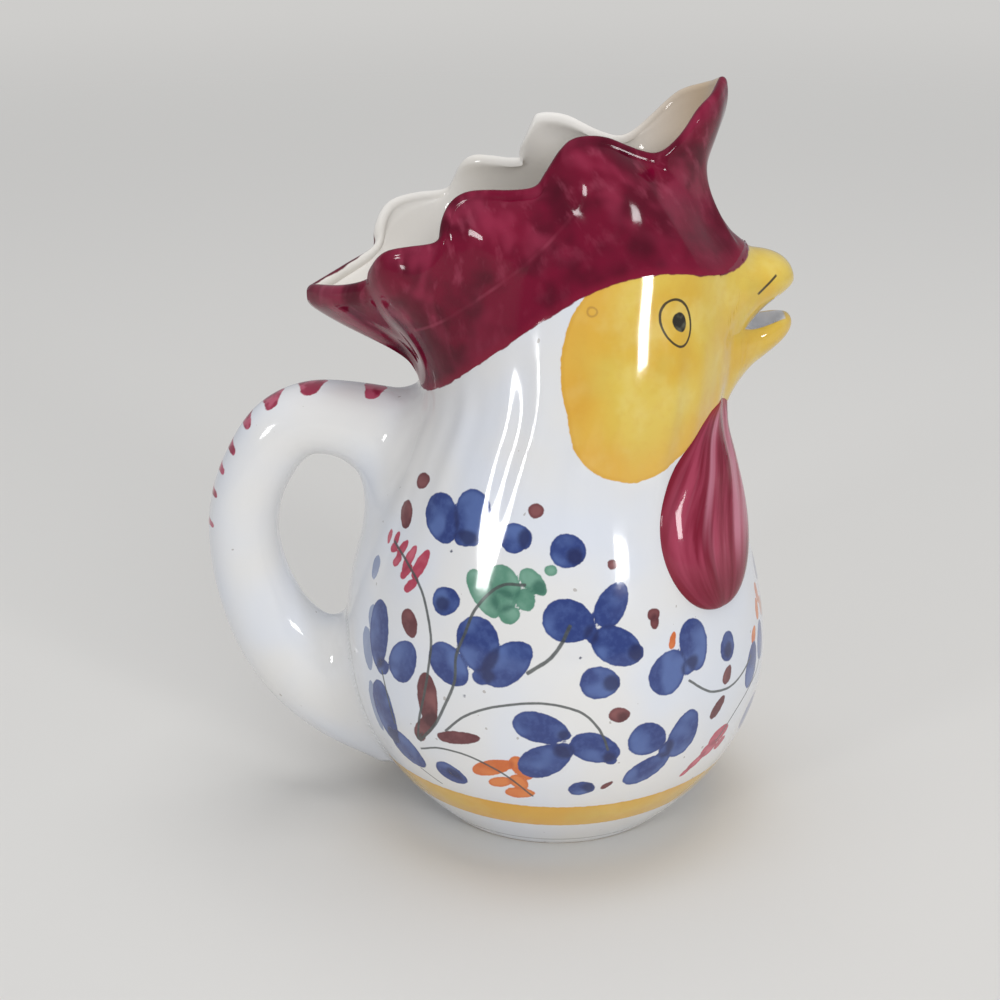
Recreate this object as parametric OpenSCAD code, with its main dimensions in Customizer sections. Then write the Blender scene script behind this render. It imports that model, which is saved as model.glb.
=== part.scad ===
/* [Body] */
// Radius of the belly at its widest line
belly_r = 58.5; // [52:0.5:64]
// Height of the belly's widest line above the table
belly_z = 48; // [42:1:54]
// Radius of the neck below the head
neck_r = 42.8; // [38:0.2:47]
// Height of the neck above the table
neck_z = 118; // [113:0.5:120]
// How far the neck stands forward of the foot's middle
neck_lean = 4.3; // [0:0.1:8]
// How far the shoulders sit back of the foot's middle
shoulder_back = 0.6; // [0:0.1:3]
// Thickness of the fired clay wall
wall_t = 4.5; // [3:0.1:5.5]
// Thickness of the floor inside
floor_t = 5; // [4:0.1:8]
// Depth of the shallow hackle flutes round the neck
flute_t = 0.6; // [0.2:0.1:1.5]
// Number of hackle flutes round the neck
flute_n = 24; // [12:12:48]

/* [Foot] */
// Radius of the foot ring where it meets the table
foot_r = 34; // [30:0.5:38]
// Height of the foot ring
foot_h = 3; // [2:0.1:5]
// Width of the flat that the pitcher rests on
foot_w = 6; // [4:0.1:9]
// How much wider the foot ring is at its top
foot_flare = 3; // [1:0.1:4]

/* [Head] */
// Where the head's middle stands, forward of the foot's middle
head_x = 4; // [0:0.5:8]
// Reach of the head from its middle to the brow above the beak
head_front = 45; // [40:0.5:50]
// Reach of the head from its middle to the nape under the comb
head_back = 41; // [37:0.5:45]
// Half of the head's width at the comb's lower edge
head_w = 35; // [30:0.5:40]
// Height of the comb's lower edge at the nape
nape_z = 122.5; // [121:0.5:128]
// Height of the comb's lower edge above the eyes
crest_z = 160.5; // [156:0.5:163]
// How far the comb's edge dips beside the brow
brow_dip = 3; // [0:0.1:6]

/* [Comb] */
// Reach of the spout's tip, forward of the foot's middle
spout_x = 42.5; // [38:0.5:46]
// Height of the spout's tip above the table
spout_z = 204; // [198:1:212]
// Reach of the comb's tail, behind the foot's middle
tail_x = 66; // [60:0.5:72]
// How far the spout's front is drawn in below its tip
spout_hollow = 10; // [4:0.5:11]
// How far the tail's underside is drawn in above the nape
tail_hollow = 3; // [0:0.5:4]
// How far the left side's front lobe sits back of the right side's
lobe_set_back = 9; // [0:0.5:12]
// How much lower the left side's front lobe stands than the right side's
lobe_drop = 1.7; // [0:0.1:3]
// Height of the comb's tail above the table
tail_z = 149.5; // [144:0.5:156]
// Half of the mouth's width over its outer edges
mouth_w = 29.8; // [26:0.2:33]
// How far each lobe of the comb swells outwards
lobe_t = 2.6; // [0.5:0.1:4]

/* [Beak] */
// Reach of the beak's tips, forward of the foot's middle
beak_x = 62; // [58:0.5:66]
// Height of the upper beak's ridge at its root
beak_top_z = 159.5; // [156:0.5:160]
// How far the upper beak's tip lies below its ridge
beak_fall = 8.5; // [6.5:0.5:11]
// How far the corner of the open mouth lies below the ridge
gape_fall = 22.5; // [20:0.5:25]
// How far the tips of the open beak stand apart
gape_t = 12.5; // [10:0.5:15]
// Height of the lower beak at its root
lower_beak_h = 15.5; // [13:0.5:18]
// Half of the upper beak's width at its root
beak_w = 12.5; // [9:0.5:15]
// Half of the lower beak's width at its root
lower_beak_w = 11; // [8:0.5:13]
// Radius that rounds the beak's tips
beak_tip_r = 2.2; // [1:0.1:3]
// Depth of the mouth's hollow in the lower beak
mouth_t = 2; // [1:0.1:2.5]

/* [Wattles] */
// How far the wattles' upper ends reach up past the beak's lower edge
wattle_rise = 2; // [0:0.5:3]
// Height of the wattles' lower ends
wattle_low_z = 72; // [66:0.5:78]
// Half of a wattle's width at its widest
wattle_w = 22.2; // [17:0.2:23]
// How far a wattle stands out from the throat
wattle_t = 4.5; // [2:0.1:6]
// Angle between a wattle's top and the middle of the throat
wattle_top_angle = 23; // [21:0.5:27]
// Angle between a wattle's lower end and the middle of the throat
wattle_low_angle = 38.5; // [36:0.5:44]

/* [Handle] */
// Reach of the handle's outside, behind the foot's middle
handle_x = 96.5; // [90:0.5:104]
// Height of the handle's top above the table
handle_top_z = 123.5; // [118:0.5:128]
// Height at which the handle's root meets the foot of the belly
handle_low_z = 9; // [6:0.5:14]
// Thickness of the handle across the fingers
handle_t = 20; // [15:0.5:24]
// Width of the handle from side to side
handle_w = 19; // [14:0.5:24]

/* [Hidden] */

glaze_white = [0.89, 0.89, 0.91];
comb_red = [0.45, 0.07, 0.18];
beak_yellow = [0.86, 0.68, 0.22];

// Points round every ring of the lofted clay
steps = 96;
// Rows of rings up the body, up the head and up the comb, outside and inside
body_rows = 12;
head_rows = 6;
crown_rows = 8;
inner_body_rows = 7;
inner_head_rows = 4;
inner_crown_rows = 5;
// Steps round the lip of the mouth
lip_rows = 4;
// Slices along the handle, a beak and a wattle, and sides of a slice
handle_slices = 18;
beak_slices = 10;
wattle_slices = 11;
slice_sides = 24;
// Thickness of one slice before neighbouring slices are joined
slice_t = wall_t / 50;

foot_top_r = foot_r + foot_flare;

beak_tip_z = beak_top_z - beak_fall;
gape_z = beak_top_z - gape_fall;
lower_tip_z = beak_tip_z - gape_t;
beak_low_z = gape_z - lower_beak_h;
wattle_top_z = beak_low_z + wattle_rise;

// Shape of the belly below its widest line, of the narrowing above it, and how
// late the neck starts to lean
low_curve_share = 2.1;
neck_turn_share = 5 / 6;
lean_share = 4;

// Shape of the comb's lower edge up from the nape, and of the swelling of the lobes
edge_curve_share = 1.15;
lobe_curve_share = 1.6;
// How low the hollows of spout and tail lie, and how quickly they run out
hollow_low_share = 0.7;
hollow_end_share = 1.6;

// Angles from the beak, in degrees: where the comb's edge starts to fall towards
// the nape, and between which the left front lobe is set back and is lowered
brow_angle = 65;
set_back_angles = [5, 95];
drop_angles = [20, 75];

// Bluntness of the beak's tips from the side, along the ridge and from above
tip_share = 8;
ridge_share = 5;
side_share = 3;
// Where the beak's slices start, and the width of the mouth's hollow
beak_root_share = 3 / 4;
mouth_width_share = 2 / 3;

// How a wattle turns aside on its way down, how low its widest line lies, and
// how full its outline is
wattle_turn_share = 0.75;
wattle_low_share = 1.05;
wattle_full_share = 0.42;

// Swelling under the handle's upper root: its place in shares of the reach and
// of the height, its half sizes in shares of half the handle's thickness, and
// how far along the handle it runs out
root_swell_share = [0.477, 0.75];
root_size_share = [1, 2, 0.95];
root_end_share = 1 / 6;

// Rim of the comb from the spout's tip round to the tail, one row to each
// equal turn: shares of the reach forward or back, of the mouth's half width,
// of the rise from tail to spout, and of the lobes' swelling
rim_share = [
    [ 1.000, 0.000, 1.000, 0.3],
    [ 0.930, 0.290, 0.950, 0.3],
    [ 0.815, 0.490, 0.890, 0.2],
    [ 0.695, 0.530, 0.778, 0.1],
    [ 0.580, 0.505, 0.694, 0.0],
    [ 0.485, 0.535, 0.705, 0.4],
    [ 0.380, 0.570, 0.738, 0.8],
    [ 0.273, 0.603, 0.774, 1.0],
    [ 0.163, 0.628, 0.785, 1.0],
    [ 0.060, 0.637, 0.772, 0.9],
    [-0.005, 0.637, 0.725, 0.5],
    [-0.058, 0.652, 0.618, 0.0],
    [-0.095, 0.681, 0.555, 0.3],
    [-0.190, 0.710, 0.543, 0.8],
    [-0.268, 0.750, 0.550, 1.0],
    [-0.355, 0.798, 0.547, 0.9],
    [-0.408, 0.861, 0.505, 0.5],
    [-0.433, 0.944, 0.413, 0.0],
    [-0.467, 1.000, 0.339, 0.4],
    [-0.582, 0.992, 0.317, 1.0],
    [-0.685, 0.900, 0.283, 0.9],
    [-0.737, 0.700, 0.193, 0.5],
    [-0.757, 0.608, 0.112, 0.0],
    [-0.868, 0.400, 0.051, 0.5],
    [-1.000, 0.000, 0.000, 0.9]
];

// Middle line of the handle from the neck to the foot: shares of the reach
// and of the height between its ends, and shares of its thickness and width
handle_share = [
    [0.30, 0.79, 2.00, 1.45],
    [0.44, 0.84, 1.55, 1.20],
    [0.57, 0.89, 1.13, 1.02],
    [0.69, 0.90, 1.02, 0.97],
    [0.78, 0.86, 1.00, 0.95],
    [0.85, 0.77, 0.97, 0.95],
    [0.885, 0.68, 0.98, 0.97],
    [0.89, 0.58, 1.01, 1.00],
    [0.865, 0.47, 1.09, 1.03],
    [0.81, 0.36, 1.25, 1.08],
    [0.72, 0.27, 1.50, 1.18],
    [0.60, 0.21, 1.80, 1.32],
    [0.42, 0.15, 2.00, 1.50]
];

function mix(a, b, s) = a + (b - a) * s;
function fold(a) = a > 180 ? 360 - a : a;
function rise(s) = (1 - cos(180 * s)) / 2;
function bell(a, ends) = sin(180 * max(0, min(1, (a - ends[0]) / (ends[1] - ends[0]))));

// Smooth curve through four rows of a table, between the middle two
function spline(a, b, c, d, s) =
    b + (c - a) * s / 2
    + (2 * a - 5 * b + 4 * c - d) * s * s / 2
    + (3 * b - a - 3 * c + d) * s * s * s / 2;

// Row of a table at any place along it, with the ends run on straight
function row(table, i) =
    i < 0 ? 2 * table[0] - table[1]
    : i >= len(table) ? 2 * table[len(table) - 1] - table[len(table) - 2]
    : table[i];
function along(table, s) =
    let (place = s * (len(table) - 1), i = min(floor(place), len(table) - 2))
    spline(row(table, i - 1), row(table, i), row(table, i + 1), row(table, i + 2), place - i);

// Radius and forward lean of the body at a height
function body_r(z) =
    z < belly_z
    ? let (s = (z - foot_h) / (belly_z - foot_h))
      mix(foot_top_r, belly_r, 1 - pow(1 - s, low_curve_share))
    : let (s = (z - belly_z) / (neck_z - belly_z))
      mix(belly_r, neck_r, rise(neck_turn_share * s) / rise(neck_turn_share));
function body_x(z) =
    z < belly_z ? 0
    : let (s = (z - belly_z) / (neck_z - belly_z))
      neck_lean * pow(s, lean_share) - shoulder_back * sin(180 * s);

// Depth of a flute: s runs from nothing at the shoulder to the most at the neck
function flute(s, a) = flute_t * rise(max(0, min(1, s))) * (cos(flute_n * a) - 1) / 2;

// A point of the body, set in from the outside by a thickness
function body_point(z, a, inset) =
    let (s = max(0, (z - belly_z) / (neck_z - belly_z)),
         r = body_r(z) - inset + flute(2 * s - 1, a))
    [body_x(z) + r * cos(a), r * sin(a), z];

// Lower edge of the comb, where the head ends
function seam_z(a) =
    let (back = (180 - a) / (180 - brow_angle))
    back < 1 ? mix(nape_z, crest_z, rise(pow(back, edge_curve_share)))
    : crest_z - brow_dip * pow(bell(a, [0, brow_angle]), 2);
function seam_point(a, inset) = [
    head_x + ((cos(a) > 0 ? head_front : head_back) - inset) * cos(a),
    (head_w - inset) * sin(a),
    seam_z(fold(a))
];
function head_point(s, a, inset) =
    let (low = body_point(neck_z, a, inset),
         below = body_point(neck_z - wall_t, a, inset),
         top = seam_point(a, inset),
         start = (low - below) * (top.z - neck_z) / wall_t)
    low + start * s + (top - low - start) * s * s;

// Rim of the mouth and the swelling of its lobes
function rim_row(a) = along(rim_share, fold(a) / 180);
function set_back(a) = a < 180 ? lobe_set_back * bell(a, set_back_angles) : 0;
function drop(a) = a < 180 ? lobe_drop * bell(a, drop_angles) : 0;
function rim_point(a) =
    let (r = rim_row(a), side = a > 180 ? -1 : 1)
    [r[0] * (r[0] > 0 ? spout_x : tail_x) - set_back(a), side * r[1] * mouth_w,
     mix(tail_z, spout_z, r[2]) - drop(a)];
function rim_out(a) =
    let (turn = 360 / steps, t = rim_point((a + turn) % 360) - rim_point((a + 360 - turn) % 360))
    [t.y, -t.x, 0] / norm([t.x, t.y]);
function hollow(s, a) =
    (cos(a) > 0 ? spout_hollow : tail_hollow) * max(0, cos(2 * a))
    * pow(max(0, sin(180 * pow(s, hollow_low_share))), hollow_end_share);
function crown_point(s, a, inset) =
    let (out = rim_out(a),
         rim = rim_point(a) - out * inset - [0, 0, wall_t / 2],
         swell = lobe_t * rim_row(a)[3] * sin(180 * pow(s, lobe_curve_share)))
    mix(seam_point(a, inset), rim, s) + out * (swell - hollow(s, a));
function lip_point(turn, a) =
    mix(crown_point(1, a, 0), crown_point(1, a, wall_t), (1 - cos(turn)) / 2)
    + [0, 0, sin(turn) * wall_t / 2];

// Rings of points round the clay, counted upwards
function ring_angles() = [for (i = [0 : steps - 1]) 360 * i / steps];
function body_ring(s, low, inset) =
    [for (a = ring_angles()) body_point(mix(low, neck_z, s), a, inset)];
function head_ring(s, inset) = [for (a = ring_angles()) head_point(s, a, inset)];
function crown_ring(s, inset) = [for (a = ring_angles()) crown_point(s, a, inset)];
function lip_ring(turn) = [for (a = ring_angles()) lip_point(turn, a)];

outside_rings = concat(
    [for (i = [0 : body_rows - 1]) body_ring(i / body_rows, foot_h, 0)],
    [for (i = [0 : head_rows]) head_ring(i / head_rows, 0)]
);
inside_rings = concat(
    [for (i = [inner_head_rows : -1 : 0]) head_ring(i / inner_head_rows, wall_t)],
    [for (i = [inner_body_rows - 1 : -1 : 0]) body_ring(i / inner_body_rows, foot_h + floor_t, wall_t)]
);
crown_out_rings = [for (i = [0 : crown_rows]) crown_ring(i / crown_rows, 0)];
crown_lip_rings = [for (i = [1 : lip_rows - 1]) lip_ring(180 * i / lip_rows)];
crown_in_rings = [for (i = [inner_crown_rows : -1 : 0]) crown_ring(i / inner_crown_rows, wall_t)];

function middle(ring) = [for (k = [0 : 2]) [for (p = ring) p[k]] * [for (p = ring) 1] / len(ring)];

// Skin over a list of rings, closed by a fan at each end, or end to end
module skin(rings, looped = false) {
    n = len(rings[0]);
    last = len(rings) - 1;
    points = concat([for (r = rings) each r], [middle(rings[0]), middle(rings[last])]);
    low = (last + 1) * n;
    side = [for (r = [0 : looped ? last : last - 1], i = [0 : n - 1])
        let (j = (i + 1) % n, a = r * n, b = ((r + 1) % (last + 1)) * n)
        each [[a + i, b + i, b + j], [a + i, b + j, a + j]]];
    ends = [for (i = [0 : n - 1])
        let (j = (i + 1) % n)
        each [[low, i, j], [low + 1, last * n + j, last * n + i]]];
    polyhedron(looped ? [for (r = rings) each r] : points, looped ? side : concat(side, ends));
}

// The outside of the clay as one solid, which shapes the roots of what is luted on
module outside_form() {
    skin(concat(outside_rings, [for (i = [1 : crown_rows]) crown_out_rings[i]]));
}

// Thin oval slice that is joined to the next one
module slice(place, turn, half) {
    translate(place) rotate(turn)
        linear_extrude(height = slice_t, center = true)
            scale(half) circle(r = 1, $fn = slice_sides);
}

module body_shell() {
    color(glaze_white) skin(concat(outside_rings, inside_rings));
}

module foot_ring() {
    color(glaze_white) rotate_extrude($fn = steps)
        polygon([[foot_r - foot_w, 0], [foot_r, 0], [foot_top_r, foot_h],
                 [foot_r - foot_w - foot_flare / 2, foot_h]]);
}

module comb_crown() {
    color(comb_red) skin(concat(crown_out_rings, crown_lip_rings, crown_in_rings), looped = true);
}

// Slices of the beak stand upright across its length, from inside the head
root_x = head_x + head_front * beak_root_share;
root_share = (head_x + head_front - root_x) / (beak_x - root_x);
function blunt(s, power) = sqrt(max(0, 1 - pow(s, power)));
module beak_slice(s, low, top, half) {
    slice([mix(root_x, beak_x, s), 0, (top + low) / 2], [0, 90, 0],
          [max(slice_t, (top - low) / 2), max(slice_t, half)]);
}
module upper_beak_slice(s) {
    fall = (beak_tip_z - gape_z - beak_tip_r) / (1 - root_share);
    beak_slice(s, beak_tip_z - fall * (1 - s) - beak_tip_r * blunt(s, tip_share),
               mix(beak_tip_z, beak_top_z, blunt(s, ridge_share)), beak_w * blunt(s, side_share));
}
module lower_beak_slice(s) {
    fall = (lower_tip_z - beak_low_z - beak_tip_r) / (1 - root_share);
    back = (lower_tip_z - gape_z + beak_tip_r) / (1 - root_share);
    beak_slice(s, lower_tip_z - fall * (1 - s) - beak_tip_r * blunt(s, tip_share),
               lower_tip_z - back * (1 - s) + beak_tip_r * blunt(s, tip_share),
               lower_beak_w * blunt(s, side_share));
}
module upper_beak() {
    color(beak_yellow) difference() {
        for (i = [0 : beak_slices - 1]) hull() {
            upper_beak_slice(sin(90 * i / beak_slices));
            upper_beak_slice(sin(90 * (i + 1) / beak_slices));
        }
        outside_form();
    }
}

// The open mouth leaves a shallow hollow along the lower beak
module mouth_hollow() {
    reach = beak_x - head_x - head_front;
    rise_a = atan2(lower_tip_z - gape_z + beak_tip_r, reach);
    translate([beak_x - reach, 0, gape_z + beak_tip_r / 2]) rotate([0, -rise_a, 0])
        scale([reach, lower_beak_w * mouth_width_share, mouth_t]) sphere(r = 1, $fn = slice_sides);
}
module lower_beak() {
    color(beak_yellow) difference() {
        for (i = [0 : beak_slices - 1]) hull() {
            lower_beak_slice(sin(90 * i / beak_slices));
            lower_beak_slice(sin(90 * (i + 1) / beak_slices));
        }
        mouth_hollow();
        outside_form();
    }
}

// A wattle hangs as a pear on the throat and follows its curve, in flat slices
module wattle_slice(s) {
    z = mix(wattle_top_z, wattle_low_z, s);
    low = min(z, neck_z);
    a = mix(wattle_top_angle, wattle_low_angle, pow(s, wattle_turn_share));
    pear = pow(max(0, sin(180 * pow(s, wattle_low_share))), wattle_full_share);
    r = body_r(low);
    half_a = 180 * (slice_t + wattle_w * pear) / (PI * r);
    translate([body_x(low), 0, z]) linear_extrude(height = slice_t)
        polygon([for (u = [-1 : 4 / slice_sides : 1])
            (r - slice_t + (slice_t + wattle_t * pear) * max(0, 1 - u * u))
            * [cos(a + u * half_a), sin(a + u * half_a)]]);
}
module wattle() {
    difference() {
        for (i = [0 : wattle_slices - 1]) hull() {
            wattle_slice(rise(i / wattle_slices));
            wattle_slice(rise((i + 1) / wattle_slices));
        }
        outside_form();
    }
}
module left_wattle() {
    color(comb_red) wattle();
}
module right_wattle() {
    color(comb_red) mirror([0, 1, 0]) wattle();
}

// The handle is a bent oval rod whose ends swell into its roots
function handle_place(s) =
    let (r = along(handle_share, s))
    [-r[0] * handle_x, 0, mix(handle_low_z, handle_top_z, r[1])];
module handle_slice(s) {
    r = along(handle_share, s);
    ahead = handle_place(min(1, s + 1 / handle_slices)) - handle_place(max(0, s - 1 / handle_slices));
    slice(handle_place(s), [0, atan2(ahead.x, ahead.z), 0],
          [r[2] * handle_t / 2, r[3] * handle_w / 2]);
}
// Clay smoothed down the back of the neck under the upper root
module root_swell() {
    hull() {
        translate([-root_swell_share[0] * handle_x, 0,
                   mix(handle_low_z, handle_top_z, root_swell_share[1])])
            scale([root_size_share[0], root_size_share[2], root_size_share[1]] * handle_t / 2)
                sphere(r = 1, $fn = slice_sides * 2 / 3);
        handle_slice(root_end_share);
    }
}
module handle() {
    color(glaze_white) difference() {
        union() {
            for (i = [0 : handle_slices - 1]) hull() {
                handle_slice(i / handle_slices);
                handle_slice((i + 1) / handle_slices);
            }
            root_swell();
        }
        outside_form();
    }
}

body_shell();
foot_ring();
comb_crown();
upper_beak();
lower_beak();
right_wattle();
left_wattle();
handle();
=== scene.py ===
import bpy
import numpy as np
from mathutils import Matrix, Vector
from mathutils.bvhtree import BVHTree
from mathutils.kdtree import KDTree


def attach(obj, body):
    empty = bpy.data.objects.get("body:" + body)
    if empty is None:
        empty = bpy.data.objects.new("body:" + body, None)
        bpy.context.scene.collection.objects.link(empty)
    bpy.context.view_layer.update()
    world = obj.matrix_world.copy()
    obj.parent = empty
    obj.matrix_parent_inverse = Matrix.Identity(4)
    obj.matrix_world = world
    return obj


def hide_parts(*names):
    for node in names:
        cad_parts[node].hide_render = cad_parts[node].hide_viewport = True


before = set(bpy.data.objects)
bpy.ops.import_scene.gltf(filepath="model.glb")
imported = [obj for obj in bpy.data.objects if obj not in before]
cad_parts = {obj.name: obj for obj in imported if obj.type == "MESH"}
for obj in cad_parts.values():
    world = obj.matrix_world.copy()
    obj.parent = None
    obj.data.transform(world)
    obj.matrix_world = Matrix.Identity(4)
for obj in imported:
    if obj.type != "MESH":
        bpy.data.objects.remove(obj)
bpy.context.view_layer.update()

# THE CLAY BODY. Belly, neck and head are one hollow shell of white earthenware, cast
# about 4.5 mm thick and dipped in a glossy tin-white glaze. Every other piece is luted
# to it with slip while the clay is soft.

mm = 0.001
belly_r, belly_z = 58.5, 48.0
neck_r, neck_z, neck_lean, shoulder_back = 42.8, 118.0, 4.3, 0.6
wall_t, floor_t = 4.5, 5.0
foot_r, foot_h, foot_w, foot_flare = 34.0, 3.0, 6.0, 3.0
head_x, head_front, head_back, head_w = 4.0, 45.0, 41.0, 35.0
nape_z, crest_z, brow_dip, brow_a = 122.5, 160.5, 3.0, 65
low_curve, neck_turn = 2.1, 5 / 6
hackle_t, hackle_n = 0.6, 24
turns = 540
body_rows, head_rows = 170, 80
body_rows_in, head_rows_in = 56, 24
floor_rings, floor_sag, base_dome = 20, 0.4, 0.9

around = np.arange(turns) * 360 / turns


def cosd(a):
    return np.cos(np.radians(a))


def sind(a):
    return np.sin(np.radians(a))


def mix(a, b, s):
    return a + (b - a) * s


def rise(s):
    return (1 - cosd(180 * s)) / 2


def bell(a, low, high):
    return sind(180 * np.clip((a - low) / (high - low), 0, 1))


def fold(a):
    return np.where(a > 180, 360 - a, a)


def xyz(x, y, z):
    return np.stack(np.broadcast_arrays(x, y, z), axis=-1).astype(float)


def belly_curve(z):
    """Radius of the body at a height."""
    low = np.clip((z - foot_h) / (belly_z - foot_h), 0, 1)
    up = np.clip((z - belly_z) / (neck_z - belly_z), 0, 1)
    below = mix(foot_r + foot_flare, belly_r, 1 - (1 - low) ** low_curve)
    above = mix(belly_r, neck_r, rise(neck_turn * up) / rise(neck_turn))
    return np.where(z < belly_z, below, above)


def body_lean(z):
    up = np.clip((z - belly_z) / (neck_z - belly_z), 0, 1)
    return neck_lean * up ** 4 - shoulder_back * sind(180 * up)


def hackles(s, a):
    """Shallow upright flutes, as the feathers of the neck, a little uneven."""
    wave = 0.72 * cosd(hackle_n * a) + 0.28 * cosd((hackle_n + 13) * a + 40 * sind(3 * a))
    return hackle_t * rise(np.clip(s, 0, 1)) * (wave - 1) / 2


def body_point(z, a, inset=0.0):
    up = np.clip((z - belly_z) / (neck_z - belly_z), 0, None)
    r = belly_curve(z) - inset + hackles(2 * up - 1, a)
    return xyz(body_lean(z) + r * cosd(a), r * sind(a), z)


def seam_z(a):
    """Height of the line where the head ends and the comb begins."""
    a = fold(a)
    back = (180 - a) / (180 - brow_a)
    side = mix(nape_z, crest_z, rise(np.clip(back, 0, 1) ** 1.15))
    brow = crest_z - brow_dip * bell(a, 0, brow_a) ** 2
    return np.where(back < 1, side, brow)


def seam_point(a, inset=0.0):
    reach = np.where(cosd(a) > 0, head_front, head_back) - inset
    return xyz(head_x + reach * cosd(a), (head_w - inset) * sind(a), seam_z(a))


def head_point(s, a, inset=0.0):
    low = body_point(np.array(neck_z), a, inset)
    below = body_point(np.array(neck_z - wall_t), a, inset)
    top = seam_point(a, inset)
    start = (low - below) * (top[..., 2:] - neck_z) / wall_t
    return low + start * s + (top - low - start) * s * s


# The modeller's thumb: angle round from the beak, height, reach in degrees and mm, and how far out
touches = [(66, 131, 26, 17, 1.8), (40, 151, 12, 9, -0.7), (27, 138, 10, 14, -0.6), (0, 113, 34, 16, -2.4)]


def modelled(ring, a):
    """A ring of the outside with full cheeks, a dip before the beak and a drawn-in throat."""
    push = 0
    for angle, z, wide, high, out in touches:
        push = push + out * np.exp(-((fold(a) - angle) / wide) ** 2 - ((ring[:, 2] - z) / high) ** 2)
    return ring + xyz(cosd(a), sind(a), 0) * push[:, None]


def shrink(ring, share, z):
    """A ring drawn in towards its middle at a height, to close a floor."""
    middle = ring.mean(axis=0)
    out = middle + (ring - middle) * share
    out[:, 2] = z
    return out


outside = [body_point(mix(foot_h, neck_z, i / body_rows), around) for i in range(body_rows)]
outside += [head_point(i / head_rows, around) for i in range(head_rows + 1)]
outside = [modelled(ring, around) for ring in outside]
inside = [head_point(i / head_rows_in, around, wall_t) for i in range(head_rows_in, -1, -1)]
inner_low = foot_h + floor_t
inside += [body_point(mix(inner_low, neck_z, i / body_rows_in), around, wall_t)
           for i in range(body_rows_in - 1, -1, -1)]
# the floor inside rises to the wall in a soft corner, and the base is faintly domed
corner = [shrink(inside[-1], 1 - k / floor_rings, inner_low - floor_sag * (1 - 0.6 ** k))
          for k in range(1, floor_rings)]
base = [shrink(outside[0], k / floor_rings, foot_h + base_dome * max(0, 1 - (k / 14) ** 2))
        for k in range(1, floor_rings)]
body_rings = np.array(base + outside + inside + corner)
first_outside = len(base)
last_outside = first_outside + len(outside) - 1


def skin(name, rings, looped=False):
    """A closed skin over rings of points in millimetres, as one smooth mesh."""
    rows, cols = rings.shape[:2]
    i = np.arange(cols)
    j = (i + 1) % cols
    faces = []
    for r in range(rows if looped else rows - 1):
        a, b = r * cols, ((r + 1) % rows) * cols
        faces += np.stack([a + i, a + j, b + j, b + i], axis=1).tolist()
    points = rings.reshape(-1, 3)
    if not looped:
        ends = np.array([rings[0].mean(axis=0), rings[-1].mean(axis=0)])
        low, high = len(points), len(points) + 1
        last = (rows - 1) * cols
        faces += np.stack([np.full(cols, low), j, i], axis=1).tolist()
        faces += np.stack([np.full(cols, high), last + i, last + j], axis=1).tolist()
        points = np.vstack([points, ends])
    mesh = bpy.data.meshes.new(name)
    mesh.from_pydata((points * mm).tolist(), [], faces)
    # rings that were counted the other way round would leave the skin inside out
    mesh.calc_loop_triangles()
    corners = np.array([t.vertices[:] for t in mesh.loop_triangles])
    a, b, c = (points[corners[:, k]] for k in range(3))
    if np.einsum("ij,ij->i", a, np.cross(b, c)).sum() < 0:
        mesh.flip_normals()
    mesh.shade_smooth()
    mesh.set_sharp_from_angle(angle=np.radians(60))
    piece = bpy.data.objects.new(name, mesh)
    bpy.context.scene.collection.objects.link(piece)
    return piece


def mark(piece, **values):
    """Keeps numbers on the points of a piece for its glaze to read."""
    count = len(piece.data.vertices)
    for name, value in values.items():
        flat = np.asarray(value, dtype=np.float32)
        vector = flat.ndim > 1 and flat.shape[-1] == 3
        flat = flat.reshape(-1, 3) if vector else flat.ravel()
        spare = count - len(flat)
        if spare:
            flat = np.concatenate([flat, np.repeat(flat[-1:], spare, axis=0)])
        kind, field = ("FLOAT_VECTOR", "vector") if vector else ("FLOAT", "value")
        layer = piece.data.attributes.new(name, kind, "POINT")
        layer.data.foreach_set(field, flat.ravel())


body = skin("body", body_rings)
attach(body, "root")
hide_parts("body_shell")

# THE PAINTING ON THE BODY. It is brushed on the raw glaze by hand: blue flowers of round
# dabs, small berries and leaves on grey stems, a yellow face and a yellow band above the
# foot. The colours sink in and soften at their edges.

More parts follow.
